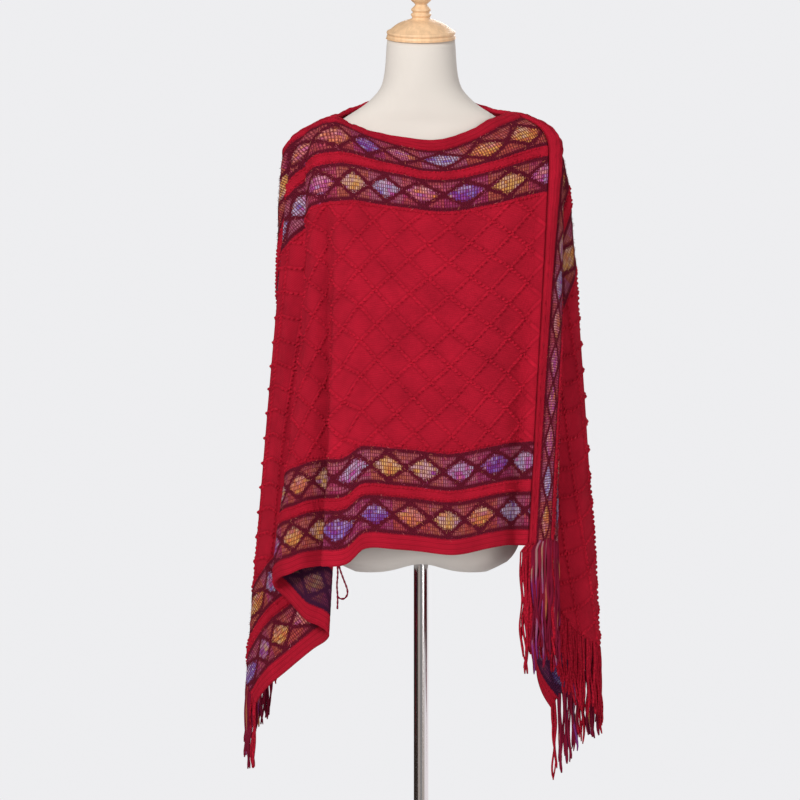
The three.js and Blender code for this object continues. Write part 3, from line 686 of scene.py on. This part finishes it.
def form_mesh(sides=112, cell=7.0):
    """The padded body, from its rounded, split underside to the neck's leaning top."""
    foot, top = FORM[0][0], FORM[-1][0]
    levels = np.arange(foot, top + cell / 2, cell)
    levels[-1] = top
    half, front, back = through(FORM, levels, (1, 2, 3))
    angle = 2 * math.pi * np.arange(sides) / sides
    x = half[:, None] * np.cos(angle)
    y = np.where(np.sin(angle) < 0, front[:, None], back[:, None]) * np.sin(angle)
    split = SEAT_SPLIT * np.maximum(1 - (levels - foot) / (FORM[2][0] - foot), 0)
    z = levels[:, None] + split[:, None] * np.exp(-((x / SEAT_SPREAD) ** 2))
    neck = np.clip((levels - FORM[-2][0]) / (top - FORM[-2][0]), 0, 1)
    z = z + neck[:, None] * y * math.tan(NECK_TILT)
    rings = np.stack([x, y, z], axis=-1)
    under = []
    for share in np.linspace(0, 1, 9)[1:-1]:
        ring_points = rings[0] * np.array([share, share, 1])
        rise = SEAT_SPLIT * np.exp(-((ring_points[:, 0] / SEAT_SPREAD) ** 2))
        ring_points[:, 2] = foot - SEAT_ROUND * (1 - share**2) + rise
        under.append(ring_points)
    stack = np.concatenate([under, rings])
    ends = [[0, 0, foot + SEAT_SPLIT - SEAT_ROUND], [0, 0, top]]
    return np.concatenate([stack.reshape(-1, 3), ends]), tube_faces(len(stack), sides)


# ------------------------------------------------------------------ materials
def sums(operation):
    """A method that joins a term and another value by a math node."""
    return lambda term, other: term.net.math(operation, term, other)


class Term:
    """A node's output that takes part in sums like a number."""

    def __init__(self, net, socket):
        self.net, self.socket = net, socket

    __add__, __sub__, __mul__ = sums("ADD"), sums("SUBTRACT"), sums("MULTIPLY")
    __truediv__, __pow__ = sums("DIVIDE"), sums("POWER")

    def __rsub__(self, other):
        return self.net.math("SUBTRACT", other, self)

    def __abs__(self):
        return self.net.math("ABSOLUTE", self)


class Net:
    """Short names for adding and joining nodes."""

    def __init__(self, tree):
        self.tree = tree

    def add(self, kind, inputs=None, **settings):
        node = self.tree.nodes.new(kind)
        for key, value in settings.items():
            setattr(node, key, value)
        for key, value in (inputs or {}).items():
            self.put(node.inputs[key], value)
        return node

    def out(self, kind, output, inputs=None, **settings):
        """One output of a new node."""
        return Term(self, self.add(kind, inputs, **settings).outputs[output])

    def put(self, socket, value):
        if isinstance(value, Term):
            self.tree.links.new(value.socket, socket)
        else:
            socket.default_value = value

    def math(self, operation, *values):
        return self.out("ShaderNodeMath", 0, dict(enumerate(values)), operation=operation)

    def least(self, a, b):
        return self.math("MINIMUM", a, b)

    def most(self, a, b):
        return self.math("MAXIMUM", a, b)

    def fract(self, value):
        return self.math("FRACT", value)

    def mix(self, share, a, b):
        """A colour between a and b."""
        a, b = (colour if isinstance(colour, Term) else (*colour, 1.0) for colour in (a, b))
        return self.out("ShaderNodeMix", 2, {"Factor": share, 6: a, 7: b}, data_type="RGBA")

    def blend(self, share, a, b):
        """A number between a and b."""
        return self.out("ShaderNodeMix", 0, {"Factor": share, 2: a, 3: b}, data_type="FLOAT")

    def step(self, value, low, high):
        """0 below low, 1 above high, smooth between."""
        given = {"Value": value, "From Min": low, "From Max": high}
        return self.out("ShaderNodeMapRange", 0, given, interpolation_type="SMOOTHSTEP")

    def point(self, x, y, z=0.0):
        return self.out("ShaderNodeCombineXYZ", 0, {0: x, 1: y, 2: z})

    def split(self, vector):
        node = self.add("ShaderNodeSeparateXYZ", {0: vector})
        return [Term(self, socket) for socket in node.outputs]

    def scaled(self, vector, factors):
        return self.out("ShaderNodeVectorMath", 0, {0: vector, 1: factors}, operation="MULTIPLY")

    def noise(self, place, scale, detail=2.0, rough=0.5):
        given = {"Vector": place, "Scale": scale, "Detail": detail, "Roughness": rough}
        return self.out("ShaderNodeTexNoise", 0, given)

    def dice(self, place):
        given = {"Vector": place}
        return self.out("ShaderNodeTexWhiteNoise", "Value", given, noise_dimensions="3D")

    def ramp(self, value, *stops):
        node = self.add("ShaderNodeValToRGB", {0: value})
        elements = node.color_ramp.elements
        while len(elements) < len(stops):
            elements.new(1.0)
        for element, (position, colour) in zip(elements, stops):
            element.position = position
            element.color = (*colour, 1.0)
        return Term(self, node.outputs[0])

    def group(self, name, **given):
        """The outputs, by name, of a group node with its inputs joined."""
        node = self.add("ShaderNodeGroup", given, node_tree=bpy.data.node_groups[name])
        return {socket.name: Term(self, socket) for socket in node.outputs}

    def position(self):
        return self.out("ShaderNodeTexCoord", "Object")

    def cut_place(self):
        return self.out("ShaderNodeAttribute", "Vector", attribute_name="cut_place")

    def bump(self, shader, height, distance, strength):
        given = {"Height": height, "Distance": distance, "Strength": strength}
        self.put(shader["Normal"], self.out("ShaderNodeBump", 0, given))


FLOAT, VECTOR = "NodeSocketFloat", "NodeSocketVector"


def new_group(name, ins, outs):
    """The net, inputs and output sockets of a new node group; an input of None is a vector."""
    group = bpy.data.node_groups.new(name, "ShaderNodeTree")
    for label, value in ins.items():
        kind = VECTOR if value is None else FLOAT
        socket = group.interface.new_socket(label, in_out="INPUT", socket_type=kind)
        if value is not None:
            socket.default_value = value
    for label in outs:
        group.interface.new_socket(label, in_out="OUTPUT", socket_type=FLOAT)
    net = Net(group)
    source = net.add("NodeGroupInput")
    given = [Term(net, source.outputs[label]) for label in ins]
    return net, given, net.add("NodeGroupOutput").inputs


def stitch_group():
    """Plain knit stitches: rows of small slanted legs in upright columns."""
    sizes = {"Place": None, "Column": 2.2, "Row": 2.6}
    net, (place, column, row), out = new_group("Knit Stitches", sizes, ["Height"])
    x, y, _ = net.split(place)
    leg = abs(net.fract(x / column) - 0.5) * 2.0
    ridge = net.math("SINE", leg * math.pi)
    pull = net.math("SINE", net.fract(y / row + leg * STITCH_SLANT) * math.pi)
    net.put(out["Height"], net.most(ridge, 0.0) * net.most(pull, 0.0) ** 0.6)


def band_group():
    """The space-dyed band: a crossed trellis with a round-ended lozenge in each opening."""
    places = {"Along": 0.0, "Edge": 0.0, "Band": 0.0}
    sizes = {"Motif": MOTIF, "Wide": LOZENGE_WIDE, "Tall": LOZENGE_TALL}
    outs = ["Lozenge", "Wedge", "Hue", "Dash", "Worn"]
    net, given, out = new_group("Trellis Band", places | sizes, outs)
    along, edge, band, motif, wide, tall = given
    turn_u, turn_v = along / DASH_WIDE, edge / DASH_TALL
    cell_u, cell_v = net.math("FLOOR", turn_u), net.math("FLOOR", turn_v)
    u = net.blend(0.6, along, (cell_u + 0.5) * DASH_WIDE)
    v = abs(net.blend(0.5, edge, (cell_v + 0.5) * DASH_TALL))
    turn = u / motif
    x = abs(net.fract(turn) - 0.5) * motif
    fuzz = (net.noise(net.point(along, edge, band * 9.0), 0.42, 4.0, 0.65) - 0.5) * 1.25

    def oval(half_wide, half_tall, off_x, off_y):
        r = (off_x / half_wide) ** 1.5 + abs(off_y / half_tall) ** 1.5 + fuzz
        return 1.0 - net.step(r, 0.82, 1.14)

    wedge = oval(WEDGE_WIDE, WEDGE_TALL, motif * 0.5 - x, v - WEDGE_AT)
    wedge = wedge * (1.0 - net.step(v, WEDGE_AT - 1.5, WEDGE_AT + 1.5))
    slope = abs(net.fract(along / motif) - 0.5) * 2.0 + abs(edge) / MOTIF_HALF
    clear = net.step(abs(slope - 1.0 + fuzz * 0.75), 0.11, 0.27)
    own = net.dice(net.point(net.math("FLOOR", turn), band))
    drift = (net.noise(net.point(along / 21.0, cell_v, band), 1.0, 1.0) - 0.5) * 0.7
    jitter = net.dice(net.point(cell_u, cell_v, band))
    dash_u = 1.0 - net.step(abs(net.fract(turn_u) - 0.5), 0.16, 0.42)
    dash_v = 1.0 - net.step(abs(net.fract(turn_v) - 0.5), 0.30, 0.48)
    net.put(out["Lozenge"], oval(wide, tall, x, v) * clear)
    net.put(out["Wedge"], wedge * clear)
    net.put(out["Hue"], net.fract(own + drift + jitter * 0.07 + 2.0))
    net.put(out["Dash"], dash_u * dash_v)
    net.put(out["Worn"], jitter)


def lattice_group():
    """Where the raised lattice lies: 1 on its lines, and 1 in the hollows beside them; the knit
    uses these as masks for a painted highlight on the lines and painted shade in the hollows.
    """
    places = {"Along": 0.0, "Across": 0.0}
    net, (u, v), out = new_group("Lattice Lines", places, ["Line", "Hollow Shade"])
    a, b = u / HALF_DIAMOND, (v - TRIM) / FIELD_STEP
    one, other = net.math("PINGPONG", a + b, 1.0), net.math("PINGPONG", a - b, 1.0)
    far = net.least(one, other) * LATTICE_SPREAD
    field = net.step(net.least(v, WIDTH - v), TRIM, TRIM + 5)
    net.put(out["Line"], (1.0 - net.step(far, 1.2, 2.6)) * field)
    net.put(out["Hollow Shade"], (net.step(far, 1.4, 2.8) - net.step(far, 3.2, 7.5)) * field)


def yarn_group():
    """Uneven tone and fine hairs of a spun yarn."""
    sizes = {"Place": None, "Scale": 0.02, "Hair": 1.2}
    net, (place, scale, hair), out = new_group("Spun Yarn", sizes, ["Tone", "Hairs"])
    net.put(out["Tone"], net.noise(place, scale, 3.0, 0.6))
    net.put(out["Hairs"], net.noise(place, hair, 4.0, 0.7))


def tint(colour, share):
    return tuple(min(c * share, 1) for c in colour)


def new_material(name, roughness, sheen=0.0, metallic=0.0, specular=0.5):
    """A material with its net and its shader's inputs."""
    material = bpy.data.materials.new(name)
    material.use_nodes = True
    shader = material.node_tree.nodes["Principled BSDF"].inputs
    shader["Roughness"].default_value = roughness
    shader["Metallic"].default_value = metallic
    shader["Sheen Weight"].default_value = sheen
    shader["Specular IOR Level"].default_value = specular
    return material, Net(material.node_tree), shader


def trim_place(net, v):
    """The band that a place across the cloth lies in, and how far it is from that band's middle."""
    edge = net.least(v, WIDTH - v)
    lower = net.math("GREATER_THAN", v, WIDTH / 2)
    second = net.math("GREATER_THAN", edge, BORDER + BAND + STRIPE / 2)
    across = edge - (BORDER + BAND / 2) - second * (BAND + STRIPE)
    return lower * 2.0 + second, across


def knit_material(red, maroon):
    """Red knit with its space-dyed bands, laid out by the place in the cut, with painted shade in
    its stitch gaps, roll grooves and lattice hollows.
    """
    _, net, shader = new_material("poncho_knit", 0.95, sheen=0.05, specular=0.06)
    shader["Sheen Tint"].default_value = SHEEN_TINT
    place = net.scaled(net.cut_place(), (1000, 1000, 1))
    u, v, side = net.split(place)
    band_id, across = trim_place(net, v)
    frayed = (net.noise(place, 0.5, 4.0, 0.65) - 0.5) * 7.0
    in_band = 1.0 - net.step(abs(across) + frayed, BAND / 2 - 1.4, BAND / 2 + 1.0)
    band = net.group("Trellis Band", Along=u + band_id * 23.0, Edge=across, Band=band_id)
    yarn = net.group("Spun Yarn", Place=place)
    stitch = net.group("Knit Stitches", Place=place)["Height"]
    lattice = net.group("Lattice Lines", Along=u, Across=v)
    hairs, dash, worn = yarn["Hairs"], band["Dash"], band["Worn"]

    dark = net.mix(net.step(hairs, 0.36, 0.66), tint(maroon, 0.36), maroon)
    shown = dash * net.blend(worn, 0.7, 1.0)
    upward = across * net.blend(net.math("GREATER_THAN", v, WIDTH / 2), -1.0, 1.0)
    pale = net.step(upward, -4.0, 9.0) * 0.38 * net.step(worn, 0.1, 0.8)
    dye = net.mix(pale, net.ramp(band["Hue"], *DYE), PALE_YARN)
    lozenge = net.mix(shown, net.mix(0.17, dark, dye), dye)
    rosy = net.mix(0.66, dye, ROSY_YARN)
    patchy = shown * 0.84 * net.blend(net.step(hairs, 0.40, 0.56), 0.30, 1.0)
    wedge = net.mix(patchy, net.mix(0.12, dark, rosy), rosy)
    woven = net.mix(band["Lozenge"], net.mix(band["Wedge"], dark, wedge), lozenge)
    bright = tuple(c * share for c, share in zip(maroon, (2.2, 3.0, 3.0)))
    woven = net.mix(net.step(hairs, 0.54, 0.66) * 0.5, woven, bright)

    tone = net.ramp(yarn["Tone"], (0.3, tint(red, 0.80)), (0.7, tint(red, 1.14)))
    # Painted shade: the red is darkened in the gaps between stitch legs. It is darkened less on the
    # lattice's raised lines, as a painted highlight, and most in the hollows beside them.
    painted_shade = (1.0 - stitch) * net.blend(lattice["Line"], 0.60, 0.34)
    painted_shade = net.most(painted_shade, lattice["Hollow Shade"] * 0.44)
    edge = net.least(v, WIDTH - v)
    # Painted shade along the roll's grooves
    for groove in SHADED_GROOVES:
        groove_shade = 1.0 - net.step(abs(edge - groove), 0.2, 1.7)
        painted_shade = net.most(painted_shade, groove_shade * 0.55)
    colour = net.mix(in_band, net.mix(painted_shade, tone, tint(red, 0.30)), woven)
    reverse = net.mix(0.72, colour, REVERSE_SHADE)
    net.put(shader["Base Color"], net.mix(side * in_band, colour, reverse))
    rough = (hairs - 0.5) * net.blend(in_band, 0.5, 1.3)
    net.bump(shader, net.blend(in_band, stitch, dash) + rough, 0.0013, 0.8)


def fuzz_material(maroon):
    """Brushed hairs in the dyes of the bands, most of them dark."""
    _, net, shader = new_material("poncho_fuzz", 0.9, specular=0.05)
    place = net.cut_place()
    pick = net.dice(net.scaled(place, (811, 811, 811)))
    dye = net.ramp(net.fract(pick + net.noise(place, 30.0, 1.0)), *DYE)
    dyed = net.mix(0.6, dye, (0.45, 0.05, 0.10))
    net.put(shader["Base Color"], net.mix(net.step(pick, 0.16, 0.2), dyed, maroon))


def fringe_material(red):
    """Yarn ends, each in the colour of the row it leaves."""
    _, net, shader = new_material("poncho_fringe", 0.95, sheen=0.05, specular=0.06)
    shader["Sheen Tint"].default_value = SHEEN_TINT
    _, v, pick = net.split(net.cut_place())
    across = trim_place(net, v * 1000.0)[1]
    in_band = net.math("LESS_THAN", abs(across), BAND / 2 - 1)
    position = net.position()
    hue = net.fract(pick * 3.0 + net.noise(position, 14.0, 1.0))
    dyed = net.mix(0.72, net.ramp(hue, *DYE), (0.13, 0.008, 0.03))
    muted = net.mix(net.noise(position, 30.0, 1.0), (0.10, 0.005, 0.016), (0.24, 0.009, 0.035))
    banded = net.mix(net.step(pick, 0.16, 0.22), dyed, muted)
    tone = net.noise(position, 420.0, 2.0)
    warm = net.ramp(tone, (0.3, tint(red, 0.26)), (0.7, tint(red, 0.66)))
    net.put(shader["Base Color"], net.mix(in_band, warm, banded))
    net.bump(shader, tone, 0.0008, 0.6)


def linen_material(colour):
    """Plain woven linen."""
    material, net, shader = new_material("form_linen", 0.85, sheen=0.1, specular=0.2)
    position = net.position()
    tone = net.noise(position, 9.0, 3.0)
    net.put(shader["Base Color"], net.ramp(tone, (0.3, tint(colour, 0.95)), (0.7, colour)))
    x, _, z = net.split(position)
    turns = 2 * math.pi / LINEN_THREAD
    weave = net.math("SINE", x * turns) * net.math("SINE", z * turns)
    net.bump(shader, weave, 0.0003, 0.3)
    return material


def wood_material(colour):
    """Pale wood with its grain upright."""
    material, net, shader = new_material("cap_wood", 0.42)
    grain = net.noise(net.scaled(net.position(), (60.0, 60.0, 9.0)), 2.2, 4.0, 0.6)
    net.put(shader["Base Color"], net.ramp(grain, (0.35, tint(colour, 0.8)), (0.65, colour)))
    net.put(shader["Roughness"], net.blend(grain, 0.36, 0.5))
    net.bump(shader, grain, 0.0004, 0.2)
    return material


def metal_material(name, colour, roughness):
    """Metal with faint streaks along its height."""
    material, net, shader = new_material(name, roughness, metallic=1.0)
    haze = net.noise(net.scaled(net.position(), (1.0, 1.0, 0.04)), 260.0, 3.0)
    shader["Base Color"].default_value = (*colour, 1.0)
    net.put(shader["Roughness"], net.blend(haze, roughness * 0.8, roughness * 1.25))
    return material


# ------------------------------------------------------------------ settings
def length_property(name, description, default, **limits):
    """A length given in millimetres."""
    return bpy.props.FloatProperty(
        name=name, description=description, default=default * MM, unit="LENGTH", **limits
    )


def colour_property(name, description, default):
    return bpy.props.FloatVectorProperty(
        name=name, description=description, default=default, size=3, subtype="COLOR"
    )


class PonchoSettings(bpy.types.PropertyGroup):
    """Sizes and colours of the knit."""

    cell: length_property("Mesh Cell", "Spacing of the knit's mesh points", 3.0, min=2.6 * MM)
    wall: length_property("Knit Thickness", "Thickness of the plain knit", 2.4)
    hairs: bpy.props.IntProperty(
        name="Loose Hairs",
        description="Number of hairs brushed out of each panel's bands",
        default=9000,
        min=1,
    )
    red: colour_property("Red Yarn", "Colour of the plain knit", (0.675, 0.0145, 0.042))
    maroon: colour_property(
        "Trellis Yarn",
        "Colour of the dark brushed yarn between the lozenges",
        (0.155, 0.009, 0.025),
    )


class FringeSettings(bpy.types.PropertyGroup):
    """Sizes of the fringe."""

    shortest: length_property("Shortest Strand", "Shortest strand", 92)
    longest: length_property("Longest Strand", "Longest strand", 118)
    front_shortest: length_property(
        "Shortest at the Front", "Shortest strand beside the front seam", 135
    )
    front_longest: length_property(
        "Longest at the Front", "Longest strand beside the front seam", 190
    )
    radius: length_property("Strand Radius", "Half a strand's width", 1.7)


class StandSettings(bpy.types.PropertyGroup):
    """Colours of the dress form and its stand."""

    linen: colour_property("Linen", "Colour of the form's cover", (0.725, 0.665, 0.60))
    wood: colour_property("Wood", "Colour of the turned neck cap", (0.88, 0.575, 0.33))
    metal: colour_property("Metal", "Colour of the pole and base", (0.62, 0.62, 0.64))


def settings():
    return bpy.context.scene.poncho


def shared_materials():
    """Makes the node groups and materials once."""
    if "Knit Stitches" not in bpy.data.node_groups:
        stitch_group()
        band_group()
        yarn_group()
        lattice_group()
        knit_material(settings().red, settings().maroon)
        fringe_material(settings().red)
        fuzz_material(settings().maroon)
    return bpy.data.materials


# ------------------------------------------------------------------ operators
class PONCHO_OT_panels(bpy.types.Operator):
    """Knit the two panels and their raised lattices"""

    bl_idname = "poncho.panels"
    bl_label = "Knit Panels"

    def execute(self, context):
        knit, loose = (shared_materials()[name] for name in ("poncho_knit", "poncho_fuzz"))
        cell, wall = settings().cell / MM, settings().wall / MM
        for name in PANELS:
            for suffix, mesh, material in (
                ("_cloth", panel_mesh(name, cell, wall), knit),
                ("_lattice", lattice_mesh(name, wall), knit),
                ("_fuzz", fuzz_mesh(name, wall, settings().hairs), loose),
            ):
                points, faces, cut = mesh
                piece = build(name + suffix, points, faces, material, cut)
                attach(piece, "root")
            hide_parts(name + "_panel")
        return {"FINISHED"}


class PONCHO_OT_fringe(bpy.types.Operator):
    """Hang the fringe from each panel's end"""

    bl_idname = "poncho.fringe"
    bl_label = "Hang Fringe"

    def execute(self, context):
        yarn = shared_materials()["poncho_fringe"]
        sizes = context.scene.poncho_fringe
        for name in PANELS:
            lengths = (sizes.shortest / MM, sizes.longest / MM)
            long_lengths = (sizes.front_shortest / MM, sizes.front_longest / MM)
            bundle = fringe(name, lengths, long_lengths, sizes.radius / MM)
            strands = bundle.build(name + "_strands", yarn)
            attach(strands, "root")
            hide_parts(name + "_fringe")
        return {"FINISHED"}


class PONCHO_OT_form(bpy.types.Operator):
    """Cover the dress form"""

    bl_idname = "poncho.form"
    bl_label = "Cover Dress Form"

    def execute(self, context):
        linen = linen_material(context.scene.poncho_stand.linen)
        form = build("form_cover", *form_mesh(), linen)
        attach(form, "root")
        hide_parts("dress_form")
        return {"FINISHED"}


class PONCHO_OT_stand(bpy.types.Operator):
    """Turn the neck cap, pole and base"""

    bl_idname = "poncho.stand"
    bl_label = "Turn Stand"

    def execute(self, context):
        colours = context.scene.poncho_stand
        wood = wood_material(colours.wood)
        chrome = metal_material("pole_chrome", colours.metal, 0.16)
        steel = metal_material("base_metal", colours.metal, 0.3)
        for name, node, profile, sides, material, slot in (
            ("turned_cap", "neck_cap", rounded(CAP, 4), 96, wood, "pale_wood"),
            ("stand_pole", "pole", POLE, 64, chrome, "chrome"),
            ("stand_base", "base", BASE, 128, steel, "base_steel"),
        ):
            points, faces = lathe(profile, sides)
            if node == "neck_cap":
                points = leaned(points) + np.array((0, 0, CAP_BASE))
            piece = build(name, points, faces, material)
            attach(piece, "root")
            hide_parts(node)
        return {"FINISHED"}


class PONCHO_OT_stage(bpy.types.Operator):
    """Set the floor, light and camera"""

    bl_idname = "poncho.stage"
    bl_label = "Set Stage"

    def execute(self, context):
        scene = context.scene
        camera = bpy.data.objects.new("camera", bpy.data.cameras.new("camera"))
        scene.collection.objects.link(camera)
        camera.location = CAMERA_PLACE
        camera.rotation_euler = (math.radians(90), 0, 0)
        camera.data.lens = LENS
        camera.data.sensor_width = SENSOR
        scene.camera = camera
        material, _, shader = new_material("studio_floor", 0.95)
        shader["Base Color"].default_value = (0.82, 0.82, 0.84, 1.0)
        floor = build(
            "studio_floor",
            *lathe([(1500, -3.0), (1500, -0.2)], 128),
            material,
            smooth=False,
        )
        world = bpy.data.worlds.new("studio")
        world.use_nodes = True
        scene.world = world
        world.node_tree.nodes.clear()
        net = Net(world.node_tree)
        facing = net.out("ShaderNodeTexCoord", "Generated")

        def toward(x, y, low, high):
            """1 towards one side of the room."""
            given = {0: facing, 1: (x, y, 0.0)}
            share = net.out("ShaderNodeVectorMath", "Value", given, operation="DOT_PRODUCT")
            return net.step(share, low, high)

        def backdrop(colour, strength=1.0):
            return net.out("ShaderNodeBackground", 0, {"Color": colour, "Strength": strength})

        def choose(ray, off, on):
            share = net.out("ShaderNodeLightPath", ray)
            return net.out("ShaderNodeMixShader", 0, {0: share, 1: off, 2: on})

        room = net.mix(toward(0.94, 0.34, 0.35, 0.8), (0.50, 0.43, 0.38), (1.15, 1.06, 1.06))
        room = net.mix(toward(0.0, -1.0, 0.965, 0.985), room, (0.20, 0.21, 0.22))
        room = net.mix(toward(-0.917, 0.399, 0.36, 0.50), room, (0.035, 0.022, 0.016))
        shade = net.mix(toward(-0.55, 0.83, 0.55, 0.95), (0.90, 0.90, 0.92), (0.05, 0.045, 0.04))
        lit = choose("Is Glossy Ray", backdrop(shade, 0.46), backdrop(room))
        seen = choose("Is Camera Ray", lit, backdrop((0.853, 0.853, 0.870, 1)))
        net.add("ShaderNodeOutputWorld", {0: seen})
        for name, place, aim, size, power in LAMPS:
            light = bpy.data.lights.new(name, "AREA")
            light.shape = "DISK"
            light.size = size
            light.energy = power
            lamp = bpy.data.objects.new(name, light)
            scene.collection.objects.link(lamp)
            lamp.location = place
            x, y, z = np.array(place) - np.array(aim)
            lamp.rotation_euler = (math.atan2(math.hypot(x, y), z), 0, math.atan2(x, -y))
        scene.view_settings.view_transform = "Standard"
        return {"FINISHED"}


class PONCHO_OT_declare(bpy.types.Operator):
    """Does nothing; it only finishes."""

    bl_idname = "poncho.declare"
    bl_label = "State Cut"

    def execute(self, context):
        return {"FINISHED"}


STEPS = (
    PONCHO_OT_stage,
    PONCHO_OT_form,
    PONCHO_OT_stand,
    PONCHO_OT_panels,
    PONCHO_OT_fringe,
    PONCHO_OT_declare,
)


class PONCHO_PT_sidebar(bpy.types.Panel):
    bl_idname = "PONCHO_PT_sidebar"
    bl_label = "Knitted Poncho"
    bl_space_type = "VIEW_3D"
    bl_region_type = "UI"
    bl_category = "Poncho"

    def draw(self, context):
        scene = context.scene
        for group in (scene.poncho, scene.poncho_fringe, scene.poncho_stand):
            box = self.layout.box()
            for key in group.bl_rna.properties.keys():
                if key not in {"rna_type", "name"}:
                    box.prop(group, key)
        for step in STEPS:
            self.layout.operator(step.bl_idname)


GROUPS = (PonchoSettings, FringeSettings, StandSettings)


def register():
    for cls in (*GROUPS, *STEPS, PONCHO_PT_sidebar):
        bpy.utils.register_class(cls)
    bpy.types.Scene.poncho = bpy.props.PointerProperty(type=PonchoSettings)
    bpy.types.Scene.poncho_fringe = bpy.props.PointerProperty(type=FringeSettings)
    bpy.types.Scene.poncho_stand = bpy.props.PointerProperty(type=StandSettings)


def unregister():
    del bpy.types.Scene.poncho_stand
    del bpy.types.Scene.poncho_fringe
    del bpy.types.Scene.poncho
    for cls in reversed((*GROUPS, *STEPS, PONCHO_PT_sidebar)):
        bpy.utils.unregister_class(cls)


def main():
    register()
    for step in STEPS:
        area, name = step.bl_idname.split(".")
        getattr(getattr(bpy.ops, area), name)()


if __name__ == "__main__":
    main()
